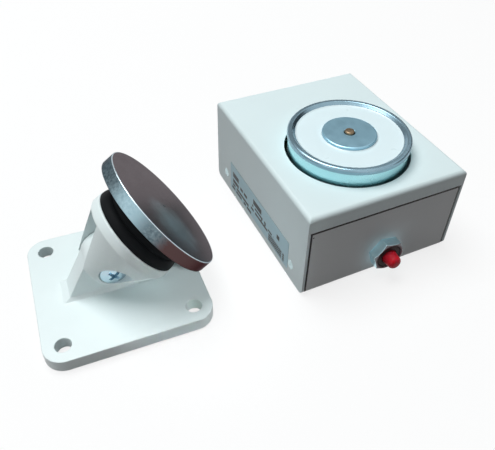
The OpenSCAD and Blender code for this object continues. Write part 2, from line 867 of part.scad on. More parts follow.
module switch_nut() {
    bevel = 0.3;
    wide = hex_r(nut_af);
    color("#aeb9be")
        at_switch()
            difference() {
                intersection() {
                    translate([0, 0, -nut_len])
                        rotate([0, 0, 30 - nut_turn])
                            cylinder(h = nut_len, r = wide, $fn = 6);
                    translate([0, 0, -nut_len])
                        cylinder(h = nut_len, r1 = nut_af / 2 - 0.2, r2 = nut_af / 2 - 0.2 + 1.8 * nut_len);
                }
                translate([0, 0, -nut_len - cut])
                    cylinder(h = nut_len + 2 * cut, r = bush_r + thread_gap);
                translate([0, 0, -nut_len - fit_gap])
                    cylinder(h = bevel, r1 = bush_r + bevel, r2 = bush_r);
            }
}

module switch_washer() {
    color("#8f9498")
        at_switch()
            translate([0, 0, chassis_t])
                difference() {
                    cylinder(h = washer_t, r = housing_d / 2 + 0.4);
                    translate([0, 0, -cut])
                        cylinder(h = washer_t + 2 * cut, r = bush_r + 0.1);
                }
}

module switch_housing() {
    color("#3a3d40")
        at_switch()
            rotate_extrude()
                polygon([
                    [cap_bore_r, bush_front], [bush_r - 0.4, bush_front], [bush_r, bush_front + 0.4],
                    [bush_r, housing_front], [housing_d / 2, housing_front], [housing_d / 2, housing_back],
                    [switch_chamber_r, housing_back], [switch_chamber_r, guide_back],
                    [stem_r + fit_gap, guide_back], [stem_r + fit_gap, guide_front],
                    [cap_bore_r, guide_front]
                ]);
}

module button_cap() {
    dome = 1.1;
    color("#c8202b")
        at_switch()
            rotate_extrude()
                polygon(concat(
                    [[0, cap_back - cap_socket], [stem_r + fit_gap, cap_back - cap_socket],
                        [stem_r + fit_gap, cap_back], [cap_r, cap_back]],
                    arc(cap_r - dome, cap_front + dome, dome, 0, -90, 6),
                    [[0, cap_front]]
                ));
}

module switch_plunger() {
    stem_front = cap_back - cap_socket + fit_gap;
    color("#e6e6e2")
        at_switch()
            union() {
                translate([0, 0, stem_front])
                    cylinder(h = stem_back - stem_front, r = stem_r);
                translate([0, 0, collar_front])
                    cylinder(h = bridge_front - collar_front, r = collar_r);
            }
}

module switch_bridge() {
    color("#b08d3c")
        at_switch()
            translate([0, 0, bridge_front])
                difference() {
                    cylinder(h = strip_t, r = bridge_r);
                    translate([0, 0, -cut])
                        cylinder(h = strip_t + 2 * cut, r = stem_r + fit_gap);
                }
}

module switch_spring() {
    color("#8f9498")
        at_switch()
            translate([0, 0, bridge_back + fit_gap])
                coil_spring(base_front - bridge_back - 2 * fit_gap, button_spring_r, button_wire_d, 2);
}

module switch_base() {
    color("#3a3d40")
        at_switch()
            difference() {
                translate([0, 0, base_front])
                    cylinder(h = base_t, r = switch_chamber_r - fit_gap);
                for (side = [-1, 1])
                    translate([side * tail_x, 0, base_front + base_t / 2])
                        cube([strip_t + 2 * fit_gap, strip_w + 2 * fit_gap, base_t + cut], center = true);
            }
}

module switch_terminals() {
    color("#c9b37a")
        at_switch()
            for (side = [-1, 1])
                scale([side, 1, 1])
                    union() {
                        translate([strip_in, -strip_w / 2, tip_front])
                            cube([strip_t, strip_w, housing_back + tail_len - tip_front]);
                        translate([tip_in, -strip_w / 2, tip_front])
                            cube([strip_out - tip_in, strip_w, strip_t]);
                    }
}

module circuit_board() {
    color("#2f6b46")
        difference() {
            translate([-board_w / 2, board_y - board_l / 2, board_z])
                cube([board_w, board_l, board_t]);
            for (x = post_xs, y = post_ys)
                translate([x, y, board_z - cut])
                    cylinder(h = board_t + 2 * cut, r = board_screw_d / 2 + fit_gap);
        }
}

module board_posts() {
    color("#c9b37a")
        for (x = post_xs, y = post_ys)
            translate([x, y, chassis_t])
                difference() {
                    cylinder(h = post_h, r = post_d / 2);
                    translate([0, 0, post_h - board_thread - cut])
                        cylinder(h = board_thread + 2 * cut, r = board_screw_d / 2 + thread_gap);
                }
}

module board_screws() {
    color("#c9ced2")
        for (x = post_xs, y = post_ys)
            translate([x, y, board_top])
                difference() {
                    union() {
                        cylinder(h = board_head_h, r1 = board_head_r, r2 = board_head_r - 0.5);
                        translate([0, 0, -board_t - board_thread + 0.5])
                            cylinder(h = board_t + board_thread, r = board_screw_d / 2);
                    }
                    for (a = [0, 90])
                        rotate([0, 0, a])
                            translate([0, 0, board_head_h])
                                cube([2.6, 0.5, 1.6], center = true);
                }
}

module terminal_block() {
    color("#3f7a4f")
        difference() {
            translate([-block_w / 2, block_y - block_l / 2, board_top])
                cube([block_w, block_l, block_h]);
            translate([-block_w / 2 - cut, block_y + block_l / 2 - 1.2, board_top + 0.65 * block_h])
                cube([block_w + 2 * cut, block_l, block_h]);
            for (x = pole_xs) {
                translate([x, block_y - 0.4, board_top + block_h - well_depth])
                    cylinder(h = well_depth + cut, r = well_r);
                translate([x, block_y, board_top + 0.3 * block_h])
                    rotate([-90, 0, 0])
                        cylinder(h = block_l, r = entry_r);
            }
        }
}

module terminal_screws() {
    screw_h = 3;
    color("#c9ced2")
        for (x = pole_xs)
            translate([x, block_y - 0.4, board_top + block_h - well_depth])
                difference() {
                    cylinder(h = screw_h, r = well_r - fit_gap);
                    translate([0, 0, screw_h])
                        cube([2 * well_r + cut, 0.6, 1.6], center = true);
                }
}

module suppressor_diode() {
    axis_z = board_top + diode_lift + diode_r;
    reach = diode_l / 2 + 1.6;
    color("#26282a")
        translate([diode_x, diode_y, 0])
            union() {
                translate([-diode_l / 2, 0, axis_z])
                    rotate([0, 90, 0])
                        cylinder(h = diode_l, r = diode_r);
                translate([-reach, 0, axis_z])
                    rotate([0, 90, 0])
                        cylinder(h = 2 * reach, r = diode_wire_r);
                for (side = [-1, 1])
                    translate([side * (reach - diode_wire_r), 0, board_top])
                        cylinder(h = diode_lift + diode_r, r = diode_wire_r);
            }
}

module lead(route) {
    tube(smooth(route, lead_steps), lead_r, 8);
}
module coil_lead_red() {
    color("#b3202a")
        lead(coil_route);
}
module coil_lead_black() {
    color("#202224")
        lead([for (p = coil_route) [-p[0], p[1], p[2]]]);
}
module switch_lead_left() {
    color("#e9e9e6")
        lead(switch_route_left);
}
module switch_lead_right() {
    color("#e9e9e6")
        lead(switch_route_right);
}

// Side view of the tongue: straight flanks from the ends of its foot to the round
// top, which they cross just inside it, and a flare that spreads the foot
module tongue_side_view() {
    rise = pivot_z - plate_t;
    far = norm([tongue_foot, rise]);
    slope = atan2(rise, tongue_foot) + asin(tongue_r / far);
    touch = (tongue_r - flank_inset) * [sin(slope), cos(slope)];
    flare = [tongue_foot - flare_h / tan(slope), flare_h - rise];
    end = tongue_foot + flare_end;
    translate([pivot_u, pivot_z])
        union() {
            circle(tongue_r);
            polygon([
                [-end, -rise - cut], [-end, -rise], [-flare[0], flare[1]], [-touch[0], touch[1]], [0, 0],
                [touch[0], touch[1]], [flare[0], flare[1]], [end, -rise], [end, -rise - cut]
            ]);
        }
}

// End view of the tongue
module tongue_end_view() {
    top = pivot_z + tongue_r + cut;
    side = tongue_half + flare_side;
    polygon([
        [-side, plate_t - cut], [-side, plate_t], [-tongue_half, plate_t + flare_h], [-tongue_half, top],
        [tongue_half, top], [tongue_half, plate_t + flare_h], [side, plate_t], [side, plate_t - cut]
    ]);
}

module tongue() {
    across = tongue_half + flare_side + cut;
    along = tongue_foot + flare_end + cut;
    intersection() {
        translate([0, across, 0])
            rotate([90, 0, 0])
                linear_extrude(2 * across)
                    tongue_side_view();
        translate([pivot_u - along, 0, 0])
            rotate([90, 0, 90])
                linear_extrude(2 * along)
                    tongue_end_view();
    }
}

module keeper_base() {
    half = plate_s / 2;
    color("#e6eeee")
        at_keeper()
            difference() {
                union() {
                    linear_extrude(plate_t)
                        soft_rect(-half, -half, half, half, plate_r, plate_r);
                    tongue();
                }
                for (sx = [-1, 1], sy = [-1, 1])
                    translate([sx * plate_spacing / 2, sy * plate_spacing / 2, -cut])
                        cylinder(h = plate_t + 2 * cut, r = plate_hole_d / 2);
                translate([pivot_u, 0, pivot_z])
                    rod_on_y(-tongue_t, tongue_t, pivot_r + fit_gap);
            }
}

module swivel_head() {
    color("#e6eeee")
        at_head()
            difference() {
                turned_on_x(concat(
                    [[0, -cheek_back]],
                    arc(cheek_r - edge_r, edge_r - cheek_back, edge_r, -90, 0, 4),
                    [[ring_r - 0.4, ring_back - 0.3], [ring_r, ring_back]],
                    arc(ring_r - 0.5, ring_front - 0.5, 0.5, 0, 90, 3),
                    [[spigot_r, ring_front], [spigot_r, spigot_front], [0, spigot_front]]
                ));
                translate([-cheek_back - cut, -slot_half, -head_reach])
                    cube([cheek_back + cut + slot_floor, 2 * slot_half, 2 * head_reach]);
                rod_on_x(0, spigot_front + cut, arm_bore_r);
                rod_on_x(0, arm_pocket_floor, arm_pocket_r);
                rod_on_y(-head_reach, head_reach, pivot_r + fit_gap);
                rod_on_y(-head_reach, -cheek_seat, head_recess_r);
                hex_on_y(cheek_seat, head_reach, nut_recess_af);
            }
}

module pivot_screw() {
    end = nut_seat + pivot_nut_h + 0.6;
    head_r = pivot_head_d / 2;
    crown = 1.4;
    blade = 1.1;
    color("#b7c3c8")
        at_head()
            rotate([-90, 0, 0])
                difference() {
                    rotate_extrude()
                        polygon([
                            [0, -cheek_seat - pivot_head_h], [head_r - crown, -cheek_seat - pivot_head_h],
                            [head_r - 0.3, -cheek_seat - pivot_head_h + 0.7 * crown],
                            [head_r, -cheek_seat - pivot_head_h + 1.5 * crown], [head_r, -cheek_seat],
                            [pivot_r, -cheek_seat], [pivot_r, end - 0.8], [pivot_r - 0.7, end], [0, end]
                        ]);
                    for (a = [45, 135])
                        rotate([0, 0, a])
                            translate([0, 0, -cheek_seat - pivot_head_h])
                                cube([0.6 * pivot_head_d, blade, 4], center = true);
                }
}

module pivot_washer() {
    color("#8f9498")
        at_head()
            difference() {
                rod_on_y(washer_seat, washer_seat + pivot_washer_t, pivot_nut_af / 2 - 0.1);
                rod_on_y(washer_seat - cut, washer_seat + pivot_washer_t + cut, pivot_r + 0.1);
            }
}

module pivot_nut() {
    color("#c9ced2")
        at_head()
            difference() {
                hex_on_y(nut_seat, nut_seat + pivot_nut_h, pivot_nut_af);
                rod_on_y(nut_seat - cut, nut_seat + pivot_nut_h + cut, pivot_r + thread_gap);
            }
}

module cushion_ring() {
    shoulder = ring_front + cushion_shoulder;
    far = disc_back + cut;
    color("#17181a")
        difference() {
            at_head()
                turned_on_x(concat(
                    [[cushion_bore_r, ring_front], [cushion_r, ring_front]],
                    [for (i = [1 : 5]) let (a = 90 * i / 5)
                        [cushion_front_r + 0.7 + (cushion_r - cushion_front_r - 0.7) * cos(a),
                            ring_front + cushion_shoulder * sin(a)]],
                    [[cushion_front_r, far], [cushion_bore_r, far]]
                ));
            at_armature()
                rod_on_x(disc_back - cushion_gap, disc_front + disc_t, ring_r + disc_r);
        }
}

module armature_disc() {
    color("#8d8f90")
        at_armature()
            turned_on_x([
                [0, arm_tip + 0.1], [arm_r + thread_gap, arm_tip + 0.1], [arm_r + thread_gap, disc_back],
                [disc_r - disc_edge, disc_back], [disc_r, disc_back + disc_edge],
                [disc_r, disc_front - disc_edge], [disc_r - disc_edge, disc_front],
                [dimple_r, disc_front], [0, disc_front - dimple_depth]
            ]);
}

module armature_bolt() {
    head_front = arm_head_back + arm_head_h;
    key_af = 4;
    color("#c9ced2")
        at_armature()
            difference() {
                turned_on_x([
                    [0, arm_head_back], [arm_head_r - 0.8, arm_head_back],
                    [arm_head_r, arm_head_back + 0.8], [arm_head_r, head_front], [arm_r, head_front],
                    [arm_r, arm_tip - 0.6], [arm_r - 0.6, arm_tip], [0, arm_tip]
                ]);
                translate([arm_head_back - cut, 0, 0])
                    rotate([0, 90, 0])
                        cylinder(h = cut + 1.4, r = hex_r(key_af), $fn = 6);
            }
}

module armature_washer() {
    front = arm_seat;
    color("#8f9498")
        at_armature()
            difference() {
                rod_on_x(front - arm_washer_t, front, arm_head_r + 0.6);
                rod_on_x(front - arm_washer_t - cut, front + cut, arm_r + fit_gap);
            }
}

cover();
cover_screws();
chassis();
rating_label();
cable_grommet();
magnet_bracket();
magnet_bolt();
magnet_washer();
magnet_cup();
pole_core();
coil_bobbin();
coil_winding();
potting_ring();
ejector_pin();
ejector_spring();
switch_nut();
switch_washer();
switch_housing();
button_cap();
switch_plunger();
switch_bridge();
switch_spring();
switch_base();
switch_terminals();
circuit_board();
board_posts();
board_screws();
terminal_block();
terminal_screws();
suppressor_diode();
coil_lead_red();
coil_lead_black();
switch_lead_left();
switch_lead_right();
keeper_base();
swivel_head();
pivot_screw();
pivot_washer();
pivot_nut();
cushion_ring();
armature_disc();
armature_bolt();
armature_washer();
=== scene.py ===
# %% [markdown]
# # An electromagnetic door holder
# The real thing is a set of two units. A folded steel box holds a pot magnet and a
# release button, and a moulded keeper on the door carries a steel disc that the
# magnet holds. The solids of every piece are already made at their real size, so
# this lesson dresses them: it models the pieces that show again with softer, finer
# forms, and gives each piece a finish worked out by nodes.

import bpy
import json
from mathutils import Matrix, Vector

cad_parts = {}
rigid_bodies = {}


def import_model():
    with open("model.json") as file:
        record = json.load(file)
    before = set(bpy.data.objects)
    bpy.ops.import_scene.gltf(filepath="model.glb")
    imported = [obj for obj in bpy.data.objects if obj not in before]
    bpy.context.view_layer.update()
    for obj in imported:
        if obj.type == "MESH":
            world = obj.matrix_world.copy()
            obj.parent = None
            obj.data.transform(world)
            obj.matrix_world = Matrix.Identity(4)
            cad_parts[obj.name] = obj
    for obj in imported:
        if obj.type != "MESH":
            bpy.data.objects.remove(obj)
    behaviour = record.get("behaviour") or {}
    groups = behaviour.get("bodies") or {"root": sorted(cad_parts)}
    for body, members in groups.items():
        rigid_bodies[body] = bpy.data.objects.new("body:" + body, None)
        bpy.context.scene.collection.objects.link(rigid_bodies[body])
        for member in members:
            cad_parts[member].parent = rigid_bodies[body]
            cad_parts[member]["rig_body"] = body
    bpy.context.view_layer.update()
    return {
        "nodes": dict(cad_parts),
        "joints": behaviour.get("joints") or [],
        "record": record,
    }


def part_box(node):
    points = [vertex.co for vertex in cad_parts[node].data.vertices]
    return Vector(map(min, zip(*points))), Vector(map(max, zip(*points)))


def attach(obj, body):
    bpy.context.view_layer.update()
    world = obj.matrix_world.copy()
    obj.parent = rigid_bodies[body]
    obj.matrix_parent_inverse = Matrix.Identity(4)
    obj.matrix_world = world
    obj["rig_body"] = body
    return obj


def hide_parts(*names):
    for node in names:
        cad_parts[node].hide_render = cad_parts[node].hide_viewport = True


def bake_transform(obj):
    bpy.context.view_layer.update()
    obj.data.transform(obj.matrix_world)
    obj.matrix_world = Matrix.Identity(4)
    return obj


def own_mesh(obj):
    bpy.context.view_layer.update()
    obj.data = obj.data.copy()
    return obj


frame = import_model()

# %% [markdown]
# ## Tools
# Blender's own library works in metres. Workshop drawings are in millimetres, so the
# shapes below are drawn in millimetres and shrunk once, when a piece is finished.

# %% Units and short names
import json
from math import cos, pi, radians, sin

import bmesh
import bpy
from mathutils import Matrix, Vector

MM = 0.001
record = frame["record"]
joints = {joint["name"]: joint for joint in frame["joints"]}
slot_of = {part["node"]: part["material_slot"] for part in record["subparts"]}
body_of = {name: node["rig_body"] for name, node in frame["nodes"].items()}


def move(x, y, z):
    return Matrix.Translation((x, y, z))


def turn(degrees, axis):
    return Matrix.Rotation(radians(degrees), 4, axis)


def box_mm(node):
    """Lowest and highest corner of a solid, in millimetres."""
    low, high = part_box(node)
    return low / MM, high / MM


# %% [markdown]
# Most of this object is turned on a lathe: the pot, its pole, the disc, the button. A
# lathe shape is half a section swung round its axis, which is what bmesh's spin does.
# The section is a short list of radius and height points, with arcs for its round
# corners. Points on the axis fall together after the spin, so they are merged, and
# the faces are then turned outwards.


# %% Turned shapes
def arc(x, y, r, start, end, steps=6):
    """Points along an arc, with both ends."""
    angles = [radians(start + (end - start) * i / steps) for i in range(steps + 1)]
    return [(x + r * cos(a), y + r * sin(a)) for a in angles]


def turned(section, segments=128):
    """A mesh swung round Z from a closed section of (radius, height) points."""
    bm = bmesh.new()
    ring = [bm.verts.new((r, 0, z)) for r, z in section]
    for first, last in zip(ring, ring[1:] + ring[:1]):
        if max(first.co.x, last.co.x) > 1e-6:
            bm.edges.new((first, last))
    bmesh.ops.spin(bm, geom=bm.verts[:] + bm.edges[:], cent=(0, 0, 0), axis=(0, 0, 1),
                   angle=2 * pi, steps=segments, use_merge=True)
    bmesh.ops.remove_doubles(bm, verts=bm.verts, dist=1e-5)
    bmesh.ops.recalc_face_normals(bm, faces=bm.faces)
    return bm


def block(low, high):
    """A plain block between two corners, to be shaped further or cut away."""
    low, high = Vector(low), Vector(high)
    bm = bmesh.new()
    bmesh.ops.create_cube(bm, size=1)
    bmesh.ops.scale(bm, vec=high - low, verts=bm.verts)
    bmesh.ops.translate(bm, vec=(low + high) / 2, verts=bm.verts)
    return bm


def placed(bm, matrix):
    """The same mesh after a move or a turn."""
    bmesh.ops.transform(bm, matrix=matrix, verts=bm.verts)
    return bm


def joined(*meshes):
    """Several separate meshes in one."""
    whole = bmesh.new()
    for bm in meshes:
        part = bpy.data.meshes.new("part")
        bm.to_mesh(part)
        bm.free()
        whole.from_mesh(part)
        bpy.data.meshes.remove(part)
    return whole


# %% [markdown]
# No real edge is perfectly sharp. A pressed or moulded edge catches a thin line of
# light, and that line is most of what makes a render look made. So every hard edge is
# eased: bevel takes the edges where two faces meet at an angle and rounds them.


# %% Eased edges
def sharp_edges(bm, over=30):
    """Edges whose two faces turn by more than this many degrees."""
    return [e for e in bm.edges if len(e.link_faces) == 2 and e.calc_face_angle() > radians(over)]


def eased(bm, width, segments=2, over=30, edges=None):
    """The mesh with its hard edges rounded."""
    chosen = sharp_edges(bm, over) if edges is None else edges
    bmesh.ops.bevel(bm, geom=chosen, offset=width, offset_type="OFFSET", segments=segments,
                    profile=0.5, affect="EDGES", material=-1, clamp_overlap=True)
    return bm


def copied(node):
    """A merged copy of a solid's mesh in millimetres, its flat faces made whole again."""
    bm = bmesh.new()
    bm.from_mesh(frame["nodes"][node].data)
    bmesh.ops.scale(bm, vec=(1 / MM,) * 3, verts=bm.verts)
    bmesh.ops.remove_doubles(bm, verts=bm.verts, dist=1e-3)
    bmesh.ops.dissolve_limit(bm, angle_limit=radians(0.5), verts=bm.verts, edges=bm.edges)
    return bm


# %% [markdown]
# Holes and slots could be made by rebuilding the faces round them, but the Boolean
# modifier does it in one step and keeps both shapes exact. It is used here as a drill:
# a tool shape is taken away from a blank, and only the finished mesh is kept.


# %% Cutting one shape with another
def carved(blank, tool, operation="DIFFERENCE"):
    """The blank after the tool is taken away from it, or after another Boolean step."""
    pair = []
    for bm in (blank, tool):
        bmesh.ops.recalc_face_normals(bm, faces=bm.faces)
        mesh = bpy.data.meshes.new("carving")
        bm.to_mesh(mesh)
        bm.free()
        part = bpy.data.objects.new("carving", mesh)
        bpy.context.scene.collection.objects.link(part)
        pair.append(part)
    cut = pair[0].modifiers.new("cut", "BOOLEAN")
    cut.object = pair[1]
    cut.operation = operation
    cut.solver = "EXACT"
    result = bmesh.new()
    result.from_object(pair[0], bpy.context.evaluated_depsgraph_get())
    for part in pair:
        mesh = part.data
        bpy.data.objects.remove(part)
        bpy.data.meshes.remove(mesh)
    bmesh.ops.remove_doubles(result, verts=result.verts, dist=1e-4)
    bmesh.ops.dissolve_limit(result, angle_limit=radians(0.2), verts=result.verts, edges=result.edges)
    return result


# %% [markdown]
# A finished piece takes the place of one solid. It is shrunk to metres, shaded smooth with its real corners
# kept hard, told which body it moves with, and kept in the table of pieces. The Weighted Normal modifier
# lets the big flat faces keep their flat shading right up to a rounded edge.


# %% Finishing a piece
finish_of = {}
pieces = {}


def piece(bm, name, node, matrix=Matrix(), hard=38, ride=True):
    """Makes the object of a finished piece, in the place of a solid."""
    bmesh.ops.recalc_face_normals(bm, faces=bm.faces)
    placed(bm, Matrix.Scale(MM, 4) @ matrix)
    mesh = bpy.data.meshes.new(name)
    bm.to_mesh(mesh)
    bm.free()
    mesh.polygons.foreach_set("use_smooth", [True] * len(mesh.polygons))
    mesh.set_sharp_from_angle(angle=radians(hard))
    obj = bpy.data.objects.new(name, mesh)
    bpy.context.scene.collection.objects.link(obj)
    weigh = obj.modifiers.new("flat faces", "WEIGHTED_NORMAL")
    weigh.keep_sharp = True
    if ride:
        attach(obj, body_of[node])
    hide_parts(node)
    pieces[node] = obj
    print(name, "for", node, "with", len(mesh.polygons), "faces")
    return obj


# %% [markdown]
# ## The case
# The cover is one steel sheet, folded down on four sides. The folds along the top are
# soft, while the upright corners are only butted and dressed, so they stay nearly
# sharp. The top folds are beveled first. Their curves meet in a seam at each corner,
# and that seam is eased together with the upright edges. A second, smaller box cut
# from the inside leaves the sheet, and the two open ends are cut next.

# %% Cover
case_w, case_d, case_h = 78, 94, 45
front_y = -35.5
back_y = front_y + case_d
sheet = 1.2
bend, corner_ease = 2.2, 0.6
lip_z = 37
foot_r = 3
opening = case_w / 2 - sheet
past = 10

cover = block((-case_w / 2, front_y, 0), (case_w / 2, back_y, case_h))
feet = [e for e in cover.edges if e.verts[0].co.z < 1 and e.verts[1].co.z < 1
        and abs(e.verts[0].co.x - e.verts[1].co.x) > 1]
eased(cover, foot_r, segments=8, edges=feet)
folds = [e for e in cover.edges if min(v.co.z for v in e.verts) > case_h - 1]
eased(cover, bend, segments=6, edges=folds)
seams = [e for e in sharp_edges(cover, 17) if max(v.co.z for v in e.verts) > foot_r]
eased(cover, corner_ease, segments=3, edges=seams)

hollow = block((-opening, front_y + sheet, -past), (opening, back_y - sheet, case_h - sheet))
folds = [e for e in hollow.edges if min(v.co.z for v in e.verts) > 0]
eased(hollow, bend - sheet, segments=5, edges=folds)
cover = carved(cover, hollow)
ends = [block((-opening, y - past, -past), (opening, y + past, lip_z)) for y in (front_y, back_y)]
cover = carved(cover, joined(*ends))
print("cover sheet:", len(cover.faces), "faces")

# %% [markdown]
# The pot stands through a round hole in the top, a little wider than the pot. Four
# small countersunk screws hold the cover to tabs inside, so the side walls get
# countersunk holes at the same four places.

# %% Holes in the cover
pot_hole_r = 28.4
screw_inset = 11.5
screw_z = 8.7
screw_places = [move(side * case_w / 2, y, screw_z) @ turn(side * 90, "Y")
                for side in (-1, 1) for y in (front_y + screw_inset, back_y - screw_inset)]

pot_hole = turned([(0, lip_z), (pot_hole_r, lip_z), (pot_hole_r, case_h + past), (0, case_h + past)])
cover = carved(cover, pot_hole)
sink_r, shank_r = 2.35, 1.3
sink = [(0, -3), (shank_r, -3), (shank_r, -sheet), (sink_r, 0), (sink_r, 1), (0, 1)]
cover = carved(cover, joined(*[placed(turned(sink, 32), place) for place in screw_places]))
eased(cover, 0.15, segments=2)
piece(cover, "cover_shell", "cover")

# %% [markdown]
# The screws in those holes are spun like anything turned. A cross recess is two thin
# blocks taken away from the head, narrower at their depth, as a screwdriver's tip is.


# %% Screws with a cross recess
def cross_tool(reach, width, depth, angle=0):
    """Two crossed blades that point down from z = 0, thinner at their tips."""
    blades = []
    for extra in (0, 90):
        blade = block((-reach, -width / 2, -depth), (reach, width / 2, 1))
        tips = [v for v in blade.verts if v.co.z < 0]
        bmesh.ops.scale(blade, vec=(0.45, 0.6, 1), verts=tips)
        blades.append(placed(blade, turn(angle + extra, "Z")))
    return carved(*blades, operation="UNION")


cover_screws = []
for place in screw_places:
    screw = turned([(0, -6), (0.9, -6), (1.25, -5.6), (1.25, -1.2), (2.28, -0.08), (2.2, 0), (0, 0)], 48)
    cover_screws.append(placed(carved(screw, cross_tool(0.85, 0.35, 0.4)), place))
piece(joined(*cover_screws), "cover_screw_heads", "cover_screws")

# %% [markdown]
# The chassis is the sheet that closes the ends and the bottom of the box. Its solid
# already has the bends and holes, so a copy of it is merged and its cut edges eased.

# %% Chassis
piece(eased(copied("chassis"), 0.2, segments=2), "chassis_sheet", "chassis")

# %% [markdown]
# A rubber grommet lines the cable's way in at the back. It is a fat ring with a groove
# that grips the sheet, turned from its section with round lips. No cable is shown, so
# none is made.

# %% Cable grommet
grommet_low, grommet_high = box_mm("cable_grommet")
grommet_len = grommet_high.y - grommet_low.y
grommet_r = (grommet_high.x - grommet_low.x) / 2
bore_r, waist_r, inner_lip, outer_lip = 4, 5.95, 0.7, 0.5
groove_start, groove_end = 1.95, 3.55
section = (
    [(bore_r + inner_lip, 0)] + arc(grommet_r - inner_lip, inner_lip, inner_lip, -90, 0)
    + [(grommet_r, groove_start), (waist_r, groove_start), (waist_r, groove_end), (grommet_r, groove_end)]
    + arc(grommet_r - outer_lip, grommet_len - outer_lip, outer_lip, 0, 90)
    + arc(bore_r + outer_lip, grommet_len - outer_lip, outer_lip, 90, 180)
    + arc(bore_r + inner_lip, inner_lip, inner_lip, 180, 270)
)
grommet_x, grommet_z = (grommet_low.x + grommet_high.x) / 2, (grommet_low.z + grommet_high.z) / 2
grommet_place = move(grommet_x, grommet_low.y, grommet_z)
piece(turned(section, 64), "grommet_ring", "cable_grommet", grommet_place @ turn(-90, "X"))

# %% [markdown]
# ## The pot magnet
# The pot is a turned steel cup with a rolled rim. Light runs along that rim, so its
# section has a true round bead, a flat and a soft slope down to the potting. Two small
# holes in the floor let the coil's leads out.

# %% Magnet cup
cup_low, cup_high = box_mm("magnet_cup")
cup_top, cup_bottom = cup_high.z, cup_low.z
rim_r = (cup_high.x - cup_low.x) / 2
cup_in = 24
cup_floor = cup_bottom + 5
bead = 0.95
side_r, bolt_hole_r = 27, 4.3
section = (
    [(bolt_hole_r, cup_bottom)] + arc(side_r - 1, cup_bottom + 1, 1, -90, 0, 4)
    + [(side_r, cup_top - 2.9), (side_r + 0.12, cup_top - 2.72), (rim_r, cup_top - 2.4)]
    + arc(rim_r - bead, cup_top - bead, bead, 0, 90, 8)
    + arc(25.7, cup_top - 0.8, 0.8, 90, 125, 4)
    + [(24.35, cup_top - 1.05)] + arc(24.6, cup_top - 1.5, 0.6, 150, 180, 3)
    + [(cup_in, cup_floor), (bolt_hole_r, cup_floor)]
)
cup = turned(section, 160)
lead_r, lead_x, lead_y = 1.1, 8, 18
drill = [(0, -2), (lead_r, -2), (lead_r, 8), (0, 8)]
lead_holes = [placed(turned(drill, 24), move(side * lead_x, lead_y, cup_bottom)) for side in (-1, 1)]
piece(carved(cup, joined(*lead_holes)), "pot_cup", "magnet_cup", hard=50)

# %% [markdown]
# The pole in the middle is a turned steel core, flush with the rim, with a small
# bright bevel. Between pole and cup lies cast resin. Poured resin creeps up the walls
# a little before it sets, so its section ends in two small curves.

# %% Pole and potting
pole_r = (box_mm("pole_core")[1].x - box_mm("pole_core")[0].x) / 2
core_low = box_mm("pole_core")[0].z
pin_bore, spring_bore, bolt_bore = 2.3, 3.3, 4.05
spring_top, bolt_top = 48.3, 36.3
section = [
    (bolt_bore, core_low), (pole_r, core_low), (pole_r, cup_top - 0.55), (pole_r - 0.12, cup_top - 0.2),
    (pole_r - 0.5, cup_top - 0.03), (pole_r - 0.8, cup_top), (pin_bore + 0.6, cup_top),
    (pin_bore + 0.2, cup_top - 0.15), (pin_bore, cup_top - 0.45), (pin_bore, spring_top),
    (spring_bore, spring_top), (spring_bore, bolt_top), (bolt_bore, bolt_top)
]
piece(turned(section, 128), "pole_turned", "pole_core", hard=50)

resin_low, resin_high = box_mm("potting_ring")
resin_out = (resin_high.x - resin_low.x) / 2
resin_in = pole_r + 0.05
creep, creep_h, steps = 1.1, 0.4, 6


def crept(wall_r, side):
    """Resin that rose against a wall: points from the wall outwards (1) or inwards (-1)."""
    return [(wall_r + side * creep * i / steps, resin_high.z + creep_h * (1 - i / steps) ** 2)
            for i in range(steps + 1)]


section = (
    [(resin_in, resin_low.z), (resin_out, resin_low.z)]
    + crept(resin_out, -1) + crept(resin_in, 1)[::-1]
)
piece(turned(section), "potting_cast", "potting_ring", hard=60)

# %% [markdown]
# The ejector pin pushes the keeper off when the current stops. Only its domed brass
# end shows, with its shoulder and spring spigot hidden in the core.

# %% Ejector pin
pin_low, pin_high = box_mm("ejector_pin")
tail_r, shoulder_r, pin_r, tip = 1.8, 3, 2.25, 0.7
shoulder_low, shoulder_high = 47.05, 48.25
section = (
    [(0, pin_low.z), (tail_r, pin_low.z), (tail_r, shoulder_low), (shoulder_r, shoulder_low)]
    + [(shoulder_r, shoulder_high), (pin_r, shoulder_high)]
    + arc(pin_r - tip, pin_high.z - tip, tip, 0, 70, 6) + [(0.9, pin_high.z), (0, pin_high.z)]
)
piece(turned(section, 64), "pin_domed", "ejector_pin", hard=50)

# %% [markdown]
# ## The release button
# The nut that holds the push button is a hexagon whose front corners were turned off,
# which leaves curved edges. That is the meeting of a hexagonal bar and a cone, so the
# Boolean modifier keeps just what the two share, and a threaded bore is taken out.

# %% Button nut
nut_low, nut_high = box_mm("switch_nut")
nut_len = nut_high.y - nut_low.y
button_x, panel_y, button_z = (nut_low.x + nut_high.x) / 2, nut_high.y, (nut_low.z + nut_high.z) / 2
switch_place = move(button_x, panel_y, button_z) @ turn(-90, "X")
nut_af, nut_turn, thread_r = 14, -18, 6.05
corner_r = nut_af / 2 / cos(pi / 6)
bar = bmesh.new()
bmesh.ops.create_cone(bar, cap_ends=True, segments=6, radius1=corner_r, radius2=corner_r, depth=nut_len)
placed(bar, turn(nut_turn, "Z") @ move(0, 0, -nut_len / 2))
nut_face, cone_slope = nut_af / 2 - 0.2, 1.8
cone = turned([(0, -nut_len), (nut_face, -nut_len), (nut_face + cone_slope * nut_len, 0), (0, 0)], 96)
nut = carved(bar, cone, "INTERSECT")
chamfer = 0.3
bore = turned([(0, -nut_len - 1), (thread_r + chamfer, -nut_len - 1), (thread_r + chamfer, -nut_len),
               (thread_r, -nut_len + chamfer), (thread_r, 1), (0, 1)], 96)
piece(eased(carved(nut, bore), 0.12), "nut_hex", "switch_nut", switch_place)

